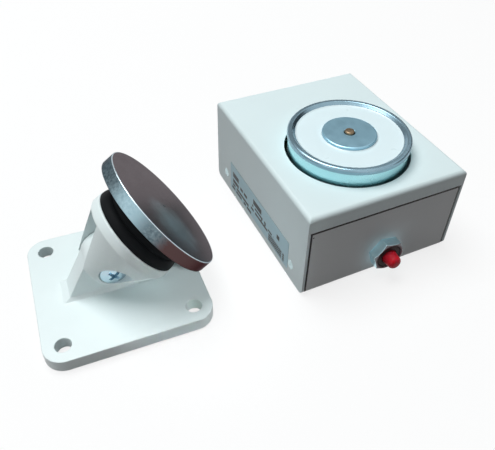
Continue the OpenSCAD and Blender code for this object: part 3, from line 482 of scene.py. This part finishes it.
# %% [markdown]
# The cap is moulded in red plastic. It narrows very slightly to its end, as mouldings
# do, and its end is rounded over.

# %% Button cap
cap_low, cap_high = box_mm("button_cap")
cap_front, cap_back, cap_r = cap_low.y - panel_y, cap_high.y - panel_y, (cap_high.x - cap_low.x) / 2
socket_r, socket, dome, draw, straight = 2.55, 4.5, 2, 0.3, 5.6
section = (
    [(0, cap_back - socket), (socket_r, cap_back - socket), (socket_r, cap_back)]
    + [(cap_r, cap_back), (cap_r, cap_front + straight)]
    + arc(cap_r - dome - draw, cap_front + dome, dome, 0, -80, 8)
    + [(cap_r - dome - 0.9, cap_front), (0, cap_front)]
)
piece(turned(section, 96), "cap_red", "button_cap", switch_place, hard=60)

# %% [markdown]
# Two coil springs hide inside: one under the ejector pin and one behind the button. Each is a merged copy
# of its solid that stays rigid, so it runs through the piece that presses it.

# %% Springs
for node, joint, name, pressed in (
    ("ejector_spring", "ejector_press", "ejector_coil", Vector((0, 0, -1))),
    ("switch_spring", "button_press", "switch_coil", Vector((0, 1, 0))),
):
    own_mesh(piece(copied(node), name, node))

# %% [markdown]
# ## The keeper
# The plate and its upright tongue are one moulding. The copy of its solid gets wide,
# soft edges, because plastic flows poorly into sharp corners and a mould has none.

# %% Keeper base
keeper_x, keeper_y, keeper_turn = -110.2, 1.8, -3
keeper_place = move(keeper_x, keeper_y, 0) @ turn(keeper_turn, "Z")
piece(eased(copied("keeper_base"), 0.5, segments=3, over=25), "keeper_moulding", "keeper_base")

# %% [markdown]
# The head is turned in the mould: a cone that opens into a ring and a spigot. Then the
# slot for the tongue, the bores and the recesses for the pivot's head and nut are
# taken out. Its own frame has x along its axis and y along the hinge, and the hinge's
# place comes from the joint itself.

# %% Swivel head
head_tilt = 35.5
hinge = Vector(joints["head_tilt"]["pos_m"]) / MM
head_place = move(*hinge) @ turn(keeper_turn, "Z") @ turn(-head_tilt, "Y")
along = turn(90, "Y")
across = turn(-90, "X")
ring_r, ring_back, ring_front = 21, 11.6, 15.9
cheek_back, cheek_r, slot_half, slot_floor = 8, 9.9, 5.4, 11.2
spigot_r, spigot_len = 9, 4.2
screw_seat = slot_half + 4
well_r, well_floor, well_hole_r = 6.2, 14.85, 3.6
recess_r, pivot_bore_r, nut_recess_r = 6, 3.05, 6
reach = 25

section = (
    [(0, -cheek_back)] + arc(cheek_r - 0.8, 0.8 - cheek_back, 0.8, -90, 0, 4)
    + [(ring_r - 0.9, ring_back - 0.75), (ring_r - 0.3, ring_back - 0.15), (ring_r, ring_back + 0.5)]
    + arc(ring_r - 0.7, ring_front - 0.7, 0.7, 0, 90, 5)
    + [(spigot_r, ring_front), (spigot_r, ring_front + spigot_len), (0, ring_front + spigot_len)]
)
head = placed(turned(section, 144), along)
slot = block((-cheek_back - 1, -slot_half, -reach), (slot_floor, slot_half, reach))
bolt_well = turned([(0, 0), (well_r, 0), (well_r, well_floor), (well_hole_r, well_floor),
                    (well_hole_r, reach), (0, reach)], 64)
pivot_hole = turned([(0, -reach), (recess_r, -reach), (recess_r, -screw_seat),
                     (pivot_bore_r, -screw_seat), (pivot_bore_r, reach), (0, reach)], 64)
hexagon = bmesh.new()
bmesh.ops.create_cone(hexagon, cap_ends=True, segments=6, radius1=nut_recess_r, radius2=nut_recess_r,
                      depth=2 * past)
nut_recess = placed(hexagon, across @ move(0, 0, screw_seat + past) @ turn(30, "Z"))
for tool in (slot, placed(bolt_well, along), placed(pivot_hole, across), nut_recess):
    head = carved(head, tool)
piece(eased(head, 0.3, segments=3), "head_moulding", "swivel_head", head_place)

# %% [markdown]
# The pivot is a pan-headed screw in a round recess. Its crown is a large arc, and its
# cross recess stands a little off square, as it was left when the screw was tightened.

# %% Pivot screw
head_h, screw_r, screw_end, cross_turn = 3.2, 5.5, 15.5, 5
crown_r = 9
crown_drop = crown_r - (crown_r ** 2 - (screw_r - 0.6) ** 2) ** 0.5
head_top = -screw_seat - head_h
section = (
    arc(0, head_top + crown_r, crown_r, -90, -57.5, 8)
    + arc(screw_r - 0.7, head_top + crown_drop + 0.65, 0.7, -60, 0, 4)
    + [(screw_r, -screw_seat), (3, -screw_seat), (3, screw_end - 0.8), (2.3, screw_end), (0, screw_end)]
)
cross = placed(cross_tool(3.6, 1.6, 2.4, cross_turn), move(0, 0, head_top) @ turn(180, "X"))
pivot = eased(carved(turned(section, 96), cross), 0.08)
piece(pivot, "pivot_pan_screw", "pivot_screw", head_place @ across, hard=50)

# %% [markdown]
# The armature is a heavy steel disc, turned and plated. It leans a little on its rubber
# cushion. Its edges are broken by a small chamfer, and its face keeps the lathe's
# centre mark.

# %% Armature disc
disc_lean = 1.9
seat = Vector(joints["armature_rock"]["pos_m"]) / MM
armature_place = move(*seat) @ turn(keeper_turn, "Z") @ turn(-head_tilt, "Y") @ turn(disc_lean, "Z")
arm_seat = 14.5
disc_r, disc_back, disc_front, edge = 29.4, 26.0 - arm_seat, 31.7 - arm_seat, 0.4
thread_end = 29.9 - arm_seat
section = (
    [(0, thread_end), (3.05, thread_end), (3.05, disc_back), (disc_r - edge, disc_back)]
    + [(disc_r - 0.1, disc_back + 0.15), (disc_r, disc_back + edge), (disc_r, disc_front - edge)]
    + arc(disc_r - edge, disc_front - edge, edge, 0, 90, 4)
    + [(0.95, disc_front), (0.8, disc_front - 0.08), (0, disc_front - 0.6)]
)
piece(turned(section, 192), "disc_turned", "armature_disc", armature_place @ along, hard=50)

# %% [markdown]
# The cushion is a thick ring of black rubber, glued between the ring and the disc.
# Its side bulges in a quarter of an ellipse. Its far end is cut along the leaning
# disc with bisect_plane, and the two cut loops are bridged to close it.

# %% Cushion ring
cushion_r, neck_r, cushion_front_r, cushion_bore = 20.7, 18.2, 17.5, 9.3
shoulder, cut_edge, steps = 4.5, 0.4, 8
cushion_end = disc_back + arm_seat + 3
section = [(cushion_bore, ring_front), (cushion_r - cut_edge, ring_front),
           (cushion_r, ring_front + cut_edge)]
for i in range(1, steps + 1):
    bulge = radians(90 * i / steps)
    section.append((neck_r + (cushion_r - neck_r) * cos(bulge),
                    ring_front + cut_edge + (shoulder - cut_edge) * sin(bulge)))
section += [(cushion_front_r, cushion_end), (cushion_bore, cushion_end)]
cushion = placed(turned(section, 128), head_place @ along)
axis_out = armature_place.to_3x3() @ Vector((1, 0, 0))
touch = armature_place @ Vector((disc_back - 0.1, 0, 0))
bmesh.ops.bisect_plane(cushion, geom=cushion.verts[:] + cushion.edges[:] + cushion.faces[:],
                       plane_co=touch, plane_no=axis_out, clear_outer=True)
rims = [e for e in cushion.edges if e.is_boundary]
bmesh.ops.bridge_loops(cushion, edges=rims)
cushion_ring = piece(cushion, "cushion_rubber", "cushion_ring", hard=50, ride=False)
(head_place @ Vector((ring_front, 0, 0))) * MM
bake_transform(cushion_ring)

# %% [markdown]
# ## Finishes
# A finish is a small network of nodes. Written out node by node it is long and hard to
# read, so the class below wraps one output socket and lets plain Python arithmetic add
# the Math nodes. Every other node comes from one method, which takes the node's type,
# its settings and its inputs.


# %% Nodes as expressions
class Wire:
    """One output socket of a finish, with arithmetic."""

    def __init__(self, finish, socket):
        self.finish = finish
        self.socket = socket

    def math(self, operation, *values):
        return self.finish.node("ShaderNodeMath", {"operation": operation}, dict(enumerate(values)))

    def __add__(self, other):
        return self.math("ADD", self, other)

    def __sub__(self, other):
        return self.math("SUBTRACT", self, other)

    def __mul__(self, other):
        return self.math("MULTIPLY", self, other)

    def __truediv__(self, other):
        return self.math("DIVIDE", self, other)

    def __lt__(self, other):
        return self.math("LESS_THAN", self, other)

    def __gt__(self, other):
        return self.math("GREATER_THAN", self, other)

    def __or__(self, other):
        return self.math("MAXIMUM", self, other)

    def __abs__(self):
        return self.math("ABSOLUTE", self)

    def floor(self):
        return self.math("FLOOR", self)

    def fraction(self):
        return self - self.floor()

    __radd__ = __add__
    __rmul__ = __mul__


class Network:
    """A tree of nodes, made by short calls."""

    def __init__(self, tree):
        self.tree = tree

    def node(self, kind, settings=None, inputs=None, output=0):
        made = self.tree.nodes.new(kind)
        for key, value in (settings or {}).items():
            setattr(made, key, value)
        for key, value in (inputs or {}).items():
            self.feed(made.inputs[key], value)
        return Wire(self, made.outputs[output])

    def feed(self, socket, value):
        if isinstance(value, Wire):
            self.tree.links.new(value.socket, socket)
        elif socket.type == "RGBA" and len(value) == 3:
            socket.default_value = (*value, 1)
        else:
            socket.default_value = value

    def background_rays(self):
        """1 for rays that should see the white background: from the camera, a gloss or a glass."""
        path = self.node("ShaderNodeLightPath").socket.node
        camera, glossy, through = (Wire(self, path.outputs["Is " + kind + " Ray"])
                                   for kind in ("Camera", "Glossy", "Transmission"))
        return camera | glossy | through


class Finish(Network):
    """A material with its Principled surface."""

    def __init__(self, name):
        self.material = bpy.data.materials.new(name)
        self.material.use_nodes = True
        super().__init__(self.material.node_tree)
        self.surface = self.tree.nodes["Principled BSDF"]
        self.spot = self.node("ShaderNodeTexCoord", output="Object")

    def set(self, **values):
        for key, value in values.items():
            self.feed(self.surface.inputs[key.replace("_", " ")], value)

    def noise(self, size, detail=2, spot=None, rough=0.5):
        """Soft noise whose patches are about size millimetres wide."""
        return self.node("ShaderNodeTexNoise", {}, {"Vector": spot or self.spot, "Scale": 1 / (size * MM),
                                                    "Detail": detail, "Roughness": rough})

    def mix(self, amount, first, second):
        """A colour between two colours."""
        return self.node("ShaderNodeMix", {"data_type": "RGBA"}, {0: amount, 6: first, 7: second}, 2)

    def bump(self, height, depth):
        """A bump whose full height is depth millimetres."""
        return self.node("ShaderNodeBump", {}, {"Height": height, "Strength": 1.0, "Distance": depth * MM})

    def radius(self, x, y):
        """Distance from an axis."""
        squares = x * x + y * y
        return squares.math("SQRT", squares)

    def rise(self, value, start, end):
        """A soft step: 0 where a value is at start and 1 where it is at end."""
        return self.node("ShaderNodeMapRange", {"interpolation_type": "SMOOTHSTEP"},
                         {"Value": value, "From Min": start, "From Max": end})

    def mapped(self, place):
        """Object coordinates seen from a piece's own frame, in metres."""
        inverse = (Matrix.Scale(MM, 4) @ place @ Matrix.Scale(1 / MM, 4)).inverted()
        return self.node("ShaderNodeMapping", {}, {
            "Vector": self.spot, "Location": inverse.to_translation(), "Rotation": inverse.to_euler("XYZ")})

    def split(self, vector):
        """The three numbers of a vector."""
        made = self.node("ShaderNodeSeparateXYZ", {}, {"Vector": vector})
        return [Wire(self, socket) for socket in made.socket.node.outputs]


# %% [markdown]
# Paint, plastic, rubber and metal each get one recipe, and the recipe's numbers tell
# one piece from the next. Paint from a powder gun has a faint orange peel. Mouldings
# are smoother, with a slow change in gloss. In every recipe noise varies the colour
# and the roughness by a little, because even a new part isn't quite even.


# %% Recipes
def coated(slot, colour, rough, peel, depth, flecks=(), gap_shade=None):
    """A sprayed coat, with flecks given by (x, z, radius). It is painted dark, as shade in a gap, where the
    gap mask is 1.
    """
    finish = Finish(slot)
    finish.surface.inputs["Specular IOR Level"].default_value = 0.35
    drift = finish.noise(22, 3)
    paint = finish.mix(drift, [c * 0.975 for c in colour], [min(c * 1.02, 1) for c in colour])
    x, y, z = finish.split(finish.spot)
    for fleck_x, fleck_z, size in flecks:
        fleck = (finish.radius(x / MM - fleck_x, z / MM - fleck_z) < size) * (y < 0)
        paint = finish.mix(fleck, paint, (0.03, 0.03, 0.035))
    # Painted shade: a dark line where the coat meets a gap between the cover and the chassis.
    if gap_shade:
        paint = finish.mix(gap_shade(finish), paint, (0.02, 0.016, 0.017))
    finish.set(Base_Color=paint,
               Roughness=rough + (finish.noise(9) - 0.5) * 0.12,
               Normal=finish.bump(finish.noise(peel, 2), depth))
    return finish


def moulded(slot, colour, rough, grain=1.2, depth=0.004, gloss=0.5):
    """Plastic or rubber from a mould."""
    finish = Finish(slot)
    finish.surface.inputs["Specular IOR Level"].default_value = gloss
    drift = finish.noise(14, 3)
    finish.set(Base_Color=finish.mix(drift, [c * 0.96 for c in colour], [min(c * 1.03, 1) for c in colour]),
               Roughness=rough + (finish.noise(6, 3) - 0.5) * 0.14,
               Normal=finish.bump(finish.noise(grain, 3), depth))
    return finish


def plated(slot, dark, light, rough, patch=5, lines=None, depth=0.003):
    """Plated metal, with its patches and the fine marks of the tool."""
    finish = Finish(slot)
    finish.set(Metallic=1.0)
    patches = finish.noise(patch, 4, rough=0.6)
    marks = finish.noise(0.5, 2) if lines is None else lines(finish)
    finish.set(Base_Color=finish.mix(patches, dark, light),
               Roughness=rough + (patches - 0.5) * 0.16,
               Normal=finish.bump(marks, depth))
    return finish


def rings(pitch):
    """Turning marks: circles about the Z axis, pitch millimetres apart."""
    def lines(finish, spot=None):
        return finish.node("ShaderNodeTexWave", {"wave_type": "RINGS", "rings_direction": "Z"}, {
            "Vector": spot or finish.spot, "Scale": 1 / (pitch * MM) / 3.2, "Distortion": 0.6,
            "Detail": 2, "Detail Scale": 2}, "Fac")
    return lines


# %% [markdown]
# The painted steel is a pale blue-grey. The chassis is painted greyer, as painted shade for its front panel
# in shadow, and its coat is a little glossier, with one small chip near its upper left corner. Both coats
# are painted dark along the gap under the lip and beside the side walls, as a painted shade line in that
# gap.

# %% Paint
chassis_top = box_mm("chassis")[1].z
gap_shade_width, side_gap = 0.3, 0.7


# Painted shade along the gap: a band at the cover's lip edge, and on the chassis along its top edge and
# beside the side walls.
def lip_gap_shade(finish):
    x, y, z = finish.split(finish.spot)
    return (z < (lip_z + gap_shade_width) * MM) * (z > (lip_z - gap_shade_width) * MM) * (abs(x) < (opening + 0.1) * MM)


def panel_gap_shade(finish):
    x, y, z = finish.split(finish.spot)
    return (z > (chassis_top - gap_shade_width) * MM) | (abs(x) > (opening - side_gap - gap_shade_width) * MM)


finish_of["case_paint"] = coated("case_paint", (0.70, 0.82, 0.84), 0.42, 0.7, 0.006, gap_shade=lip_gap_shade)
# Painted shade: the chassis has the cover's paint, made greyer here for its front panel in shadow.
finish_of["panel_paint"] = coated("panel_paint", (0.60, 0.645, 0.66), 0.38, 0.8, 0.005,
                                  flecks=[(-36.2, 34.3, 0.35)], gap_shade=panel_gap_shade)

# %% [markdown]
# Bright zinc is blue and slightly cloudy, steel is darker, and the brass of the pin has
# tarnished. One recipe makes them all, with its own two colours for each.

# %% Plated metals
finish_of["pole_steel"] = plated("pole_steel", (0.25, 0.45, 0.56), (0.32, 0.53, 0.64), 0.34, 4)
finish_of["pivot_zinc"] = plated("pivot_zinc", (0.42, 0.56, 0.64), (0.55, 0.68, 0.75), 0.22, 3)
finish_of["zinc_screws"] = plated("zinc_screws", (0.42, 0.54, 0.56), (0.54, 0.66, 0.68), 0.5, 3)
finish_of["bracket_zinc"] = plated("bracket_zinc", (0.46, 0.50, 0.52), (0.62, 0.65, 0.66), 0.34, 6)
finish_of["spring_steel"] = plated("spring_steel", (0.30, 0.31, 0.32), (0.42, 0.43, 0.44), 0.3, 3)
finish_of["contact_brass"] = plated("contact_brass", (0.55, 0.38, 0.14), (0.70, 0.52, 0.22), 0.28, 4)
finish_of["pin_brass"] = plated("pin_brass", (0.12, 0.07, 0.035), (0.31, 0.25, 0.17), 0.36, 1.2)

# %% [markdown]
# Three pieces change along their own axis. The cup's side is bright and its rolled rim is painted darker,
# as a painted reflection of darker surroundings. The disc's face is painted dark, as a painted reflection,
# with a brighter patch that is a painted reflection too. Its rim keeps the cloudy zinc with painted
# reflections, bright on one side, dull above and dark below, and a painted highlight along its chamfered
# edge. The nut's flats are bright, and its turned corners and front are painted dark, as painted
# reflections.
#
# The masks are distances from the piece's axis and degrees round it. The cup's turning
# marks are circles round the pot's axis. The disc's follow its own leaning axis, which
# a Mapping node brings onto Z.


# %% Cup, disc and nut
def cup_painted_reflection():
    finish = Finish("cup_zinc")
    x, y, z = finish.split(finish.spot)
    # Painted reflection: the rolled rim is painted darker than the side, for the darker surroundings that
    # it reflects.
    rim = finish.rise(z / MM, cup_top - 2.7, cup_top - 2.1)
    patches = finish.noise(8, 4, rough=0.6)
    side = finish.mix(patches, (0.42, 0.74, 0.79), (0.54, 0.84, 0.88))
    bead = finish.mix(patches, (0.20, 0.32, 0.39), (0.30, 0.44, 0.52))
    finish.set(Metallic=1.0, Base_Color=finish.mix(rim, side, bead),
               Roughness=0.26 + (patches - 0.5) * 0.16,
               Normal=finish.bump(rings(0.35)(finish), 0.002))
    return finish


def disc_painted_reflections():
    finish = Finish("disc_steel")
    spot = finish.mapped(armature_place @ along)
    x, y, z = finish.split(spot)
    from_axis = finish.radius(x, y) / MM
    rim = from_axis > disc_r - edge
    patches = finish.noise(7, 4, rough=0.6)
    blotches = finish.noise(1.2, 4, rough=0.7)
    # Painted reflection: the face is painted dark, with a brighter patch, for what it reflects.
    face = finish.mix(patches, (0.215, 0.20, 0.207), (0.285, 0.268, 0.275))
    reflection_patch = finish.rise(finish.radius(x / MM - 1, y / MM + 12) + (patches - 0.5) * 14, 18, 2)
    face = finish.mix(reflection_patch, face, (0.52, 0.64, 0.68))
    # Painted reflections round the rim, by angle: a bright stretch on one side, dull zinc above and a dark
    # red-brown stretch below.
    angle = x.math("ARCTAN2", y, x) * (180 / pi)
    ragged = blotches - 0.5
    bright = finish.rise(angle, -171, -147) * finish.rise(angle + ragged * 18, -124, -144)
    dark_reflection = finish.rise(angle + ragged * 14, -120, -106) * finish.rise(angle, -20, -50)
    zinc = finish.mix(finish.rise(blotches, 0.2, 0.8), (0.05, 0.075, 0.09), (0.20, 0.27, 0.30))
    zinc = finish.mix(bright, zinc, finish.mix(blotches, (0.18, 0.30, 0.36), (0.48, 0.66, 0.72)))
    zinc = finish.mix(dark_reflection, zinc, (0.085, 0.05, 0.05))
    # Painted highlight: a bright line along the chamfer between the face and the rim.
    edge_highlight = (from_axis > disc_r - edge) * (from_axis < disc_r - 0.03) * (z / MM > disc_front - edge)
    zinc = finish.mix(edge_highlight, zinc, (0.70, 0.82, 0.88))
    finish.surface.inputs["Specular Tint"].default_value = (0.36, 0.34, 0.35, 1)
    finish.set(Metallic=1.0, Base_Color=finish.mix(rim, face, zinc),
               Roughness=0.24 + (patches - 0.5) * 0.12 + rim * 0.12,
               Normal=finish.bump(rings(0.4)(finish, spot), 0.0012))
    return finish


def nut_painted_reflections():
    finish = Finish("nut_nickel")
    x, y, z = finish.split(finish.spot)
    from_axis = finish.radius(x - button_x * MM, z - button_z * MM) / MM
    depth = y / MM - (panel_y - nut_len)
    # Painted reflections: the front and the turned corners are painted dark, for the dark surroundings that
    # they reflect.
    front = (depth < 0.35) * (from_axis < nut_face + 0.06)
    corners = abs(from_axis - nut_face - cone_slope * depth) < 0.04
    patches = finish.noise(3, 4, rough=0.6)
    flats = finish.mix(patches, (0.54, 0.82, 0.93), (0.72, 0.96, 1.0))
    sides = finish.mix(corners, flats, (0.13, 0.13, 0.14))
    finish.set(Metallic=1.0, Base_Color=finish.mix(front, sides, (0.06, 0.035, 0.04)),
               Roughness=0.34 + (patches - 0.5) * 0.16,
               Normal=finish.bump(finish.noise(0.5, 2), 0.003))
    return finish


finish_of["cup_zinc"] = cup_painted_reflection()
finish_of["disc_steel"] = disc_painted_reflections()
finish_of["nut_nickel"] = nut_painted_reflections()

# %% [markdown]
# The resin is white and glossy, the keeper a satin white plastic, the cap a bright red.
# Rubber is nearly black with a fine grain.

# %% Plastics and rubber
finish_of["potting_resin"] = moulded("potting_resin", (0.74, 0.88, 0.92), 0.3, 2.5, 0.01)
finish_of["keeper_plastic"] = moulded("keeper_plastic", (0.76, 0.86, 0.87), 0.36, 0.9, 0.003)
finish_of["button_red"] = moulded("button_red", (0.70, 0.022, 0.045), 0.34, 1, 0.004, gloss=0.12)
cap_surface = finish_of["button_red"].surface
cap_surface.inputs["Subsurface Weight"].default_value = 0.7
cap_surface.inputs["Subsurface Radius"].default_value = (1.0, 0.12, 0.15)
cap_surface.inputs["Subsurface Scale"].default_value = 4 * MM
finish_of["cushion_rubber"] = moulded("cushion_rubber", (0.006, 0.007, 0.008), 0.6, 0.5, 0.04, gloss=0.06)
finish_of["grommet_rubber"] = moulded("grommet_rubber", (0.014, 0.014, 0.016), 0.55, 0.5, 0.015)
finish_of["bobbin_plastic"] = moulded("bobbin_plastic", (0.72, 0.66, 0.50), 0.45)
finish_of["switch_body"] = moulded("switch_body", (0.03, 0.014, 0.014), 0.5, gloss=0.12)
finish_of["plunger_plastic"] = moulded("plunger_plastic", (0.76, 0.76, 0.72), 0.35)
finish_of["block_plastic"] = moulded("block_plastic", (0.04, 0.20, 0.08), 0.4)
finish_of["diode_black"] = moulded("diode_black", (0.012, 0.012, 0.014), 0.3)
finish_of["lead_red"] = moulded("lead_red", (0.42, 0.012, 0.015), 0.45)
finish_of["lead_black"] = moulded("lead_black", (0.012, 0.012, 0.014), 0.45)
finish_of["lead_white"] = moulded("lead_white", (0.74, 0.74, 0.70), 0.45)

# %% [markdown]
# Three finishes carry a pattern. The winding is rows of fine enamelled wire. The board
# is green with wider tracks under its mask. The third is the film on the left wall.


# %% Winding and board
def wound():
    finish = Finish("copper_wire")
    rows = finish.node("ShaderNodeTexWave", {"bands_direction": "Z"},
                       {"Vector": finish.spot, "Scale": 1 / (0.5 * MM) / 20, "Distortion": 0.2}, "Fac")
    finish.set(Metallic=0.85, Roughness=0.32 + rows * 0.1, Normal=finish.bump(rows, 0.05),
               Base_Color=finish.mix(rows, (0.30, 0.09, 0.03), (0.62, 0.24, 0.09)))
    return finish


def laminate():
    finish = Finish("board_laminate")
    x, y, z = finish.split(finish.spot)
    track = (abs((x / (4 * MM)).fraction() - 0.5) < 0.16) * (finish.noise(7) > 0.46)
    finish.set(Base_Color=finish.mix(track, (0.02, 0.12, 0.05), (0.05, 0.22, 0.09)),
               Roughness=0.3 + track * 0.08, Normal=finish.bump(track, 0.02))
    return finish


finish_of["copper_wire"] = wound()
finish_of["board_laminate"] = laminate()

# %% [markdown]
# The film is blank of any words. It only has plain blocks, bars and dashes where a real
# one is printed. Each stands in a field, given by where it starts and ends along the
# film and up it. A row of dashes also has their pitch, the share of them that is kept
# and a seed: white noise of a dash's number says if it is there.

# %% Blank film
label_low, label_high = box_mm("rating_label")
label_blocks = [(53, 60, 8.6, 11.6), (53, 60, 5.2, 7.4), (27, 36, 9.4, 12.4)]
label_rows = [
    (7, 11, 9.0, 11.6, 1.4, 0.6, 5),
    (43, 51, 6.4, 8.2, 1.2, 0.8, 11),
    (22, 37, 7.2, 8.5, 1.7, 0.8, 23),
    (41, 62, 3.0, 4.5, 1.5, 0.8, 37),
    (38, 61, 0.8, 2.3, 1.3, 0.8, 41),
    (20, 40, 4.6, 6.0, 1.6, 0.8, 53),
    (14, 27, 6.1, 7.2, 1.3, 0.7, 59),
]


def film():
    """Thin clear film with blocks, rows of dashes and a patch of fine bars at its front end."""
    finish = Finish("label_film")
    x, y, z = finish.split(finish.spot)
    along_film = (y - label_low.y * MM) / MM
    up_film = (z - label_low.z * MM) / MM

    def field(first, last, low, high):
        return (along_film > first) * (along_film < last) * (up_film > low) * (up_film < high)

    def dashes(pitch, share, seed):
        cell = (along_film / pitch).floor() + seed
        return finish.node("ShaderNodeTexWhiteNoise", {"noise_dimensions": "1D"}, {"W": cell}) < share

    bars = abs((up_film / 1.3).fraction() - 0.5) < 0.38
    ink = field(3, 19, 0.8, 5.6) * bars * dashes(0.8, 0.88, 71)
    for corners in label_blocks:
        ink = ink | field(*corners)
    for *corners, pitch, share, seed in label_rows:
        ink = ink | field(*corners) * dashes(pitch, share, seed)
    # Painted shade: the film's top edge is painted dark, so that no bright line shows along it.
    cut_edge = up_film > (label_high.z - label_low.z) - 0.02
    clear = finish.mix(cut_edge, (0.46, 0.67, 0.75), (0.17, 0.23, 0.25))
    finish.surface.inputs["Specular IOR Level"].default_value = 0.15
    finish.set(Base_Color=finish.mix(ink * 0.97, clear, (0.003, 0.006, 0.010)),
               Roughness=0.4 + (finish.noise(5) - 0.5) * 0.1, Normal=finish.bump(finish.noise(3), 0.003))
    return finish


finish_of["label_film"] = film()
print("finishes:", len(finish_of))

# %% [markdown]
# Each new piece takes the finish of the solid that it stands for. The solids that stay
# get theirs through their own material slot, and their meshes aren't touched.

# %% Put the finishes on
for name, node in frame["nodes"].items():
    target = pieces.get(name, node)
    target.data.materials.clear()
    target.data.materials.append(finish_of[slot_of[name]].material)
print("left as solids:", sorted(set(frame["nodes"]) - set(pieces)))

# %% [markdown]
# ## Floor, light and camera
# The photograph is a cut-out on white. The floor is a wide sheet that keeps a soft
# shadow, and it looks white to the camera and to reflections through Light Path. To
# diffuse rays it is dark, so that it throws little light back onto the walls.


# %% Floor
def board(name, width, height, place):
    """A flat sheet of the studio, which isn't part of the object, in metres."""
    bm = bmesh.new()
    bmesh.ops.create_grid(bm, x_segments=1, y_segments=1, size=0.5)
    bmesh.ops.scale(bm, vec=(width, height, 1), verts=bm.verts)
    placed(bm, place)
    mesh = bpy.data.meshes.new(name)
    bm.to_mesh(mesh)
    bm.free()
    obj = bpy.data.objects.new(name, mesh)
    bpy.context.scene.collection.objects.link(obj)
    return obj


floor = board("floor", 12, 12, move(0, 0, -0.0002))

ground = Finish("floor_white")
seen = ground.background_rays()
ground.set(Base_Color=ground.mix(seen, (0.105, 0.095, 0.095), (0.92, 0.94, 0.95)), Roughness=0.9)
glow = ground.node("ShaderNodeEmission", {}, {"Color": (1.0, 1.0, 1.0), "Strength": 1.0})
sheet_surface = Wire(ground, ground.surface.outputs[0])
blend = ground.node("ShaderNodeMixShader", {}, {0: seen * 0.8, 1: sheet_surface, 2: glow})
ground.feed(ground.tree.nodes["Material Output"].inputs["Surface"], blend)
floor.data.materials.append(ground.material)

# %% [markdown]
# The light comes from above and behind on the left: the top is bright, the left wall
# about half as bright, and the front is in shade. One large soft lamp gives that, with
# a faint warm one from the front and a faint one from the right. Two small ones follow
# the photographed light on the keeper, the last with a narrow beam on its plate. The
# world is white to the camera and to reflections and dim to everything else.


# %% Lamps and world
def lamp(name, place, aim, size, power, colour):
    data = bpy.data.lights.new(name, "AREA")
    data.shape = "DISK"
    data.size = size
    data.energy = power
    data.color = colour
    obj = bpy.data.objects.new(name, data)
    bpy.context.scene.collection.objects.link(obj)
    obj.location = place
    obj.rotation_euler = (Vector(aim) - Vector(place)).to_track_quat("-Z", "Y").to_euler()
    return obj


middle = (-0.04, 0.006, 0.02)
lamp("key", (-0.28, 0.31, 1.32), middle, 1.0, 19.2, (0.98, 1.0, 1.0))
lamp("front", (-0.1, -1.5, 0.5), middle, 0.8, 0.6, (1.0, 0.84, 0.83))
lamp("side", (1.1, 0.1, 0.35), middle, 0.8, 1.0, (0.97, 1.0, 1.0))
lamp("keeper_fill", (-0.32, -0.16, 0.06), (-0.115, -0.02, 0.01), 0.12, 0.06, (0.95, 1.0, 1.0))
plate_fill = lamp("plate_fill", (-0.085, -0.32, 0.30), (-0.079, -0.012, 0.003), 0.04, 0.0045,
                  (0.95, 1.0, 1.0))
plate_fill.data.spread = radians(12)

world = bpy.data.worlds.new("studio")
world.use_nodes = True
bpy.context.scene.world = world
sky = Network(world.node_tree)
dim = sky.node("ShaderNodeBackground", {}, {"Color": (1.0, 0.94, 0.93), "Strength": 0.09})
bright = sky.node("ShaderNodeBackground", {}, {"Color": (1.0, 1.0, 1.0), "Strength": 1.0})
either = sky.node("ShaderNodeMixShader", {}, {0: sky.background_rays(), 1: dim, 2: bright})
sky.feed(world.node_tree.nodes["World Output"].inputs["Surface"], either)

# %% [markdown]
# Bare metal shows whatever stands round it, and in an all-white room it would look like
# white paint. A photographer sets cards beside it for that reason. These two, one dark
# and one grey, are seen by reflections alone: they throw no light or shadow, and no
# camera sees them.


# %% Cards beside the metal
def card(name, width, height, place, shade):
    obj = board(name, width, height, place)
    material = bpy.data.materials.new(name)
    material.use_nodes = True
    paint = Network(material.node_tree)
    glow = paint.node("ShaderNodeEmission", {}, {"Color": (shade, shade, shade), "Strength": 1.0})
    paint.feed(material.node_tree.nodes["Material Output"].inputs["Surface"], glow)
    obj.data.materials.append(material)
    obj.visible_camera = obj.visible_diffuse = obj.visible_shadow = obj.visible_transmission = False


card("card_right", 1.6, 0.55, move(0.9, 0.1, 0.36) @ turn(90, "Z") @ turn(90, "X"), 0.03)
card("card_back", 2.4, 1.0, move(0, 1.15, 0.85) @ turn(90, "X"), 0.35)

# %% [markdown]
# The camera stands where the photographer's was, which was worked out from the case's
# edges. It looks down at about 42 degrees from the front left, with a slight roll.

# %% Camera
target = Vector((-42.17, 5.94, 20))
distance, azimuth, elevation, roll = 262.32, radians(-26.48), radians(41.94), radians(1.87)
back = Vector((sin(azimuth) * cos(elevation), -cos(azimuth) * cos(elevation), sin(elevation)))
level = Vector((cos(azimuth), sin(azimuth), 0))
upright = back.cross(level)
right = level * cos(roll) + upright * sin(roll)
up = back.cross(right)
lens = bpy.data.cameras.new("camera")
lens.sensor_width = 36
lens.lens = 41.348
lens.shift_x, lens.shift_y = -0.0159, -0.0392
lens.clip_start, lens.clip_end = 0.01, 50
camera = bpy.data.objects.new("camera", lens)
bpy.context.scene.collection.objects.link(camera)
axes = Matrix((right, up, back)).transposed().to_4x4()
camera.matrix_world = Matrix.Translation((target + back * distance) * MM) @ axes
bpy.context.scene.camera = camera
bpy.context.scene.view_settings.view_transform = "Standard"
print("camera at", [round(v, 1) for v in camera.matrix_world.translation / MM], "mm")
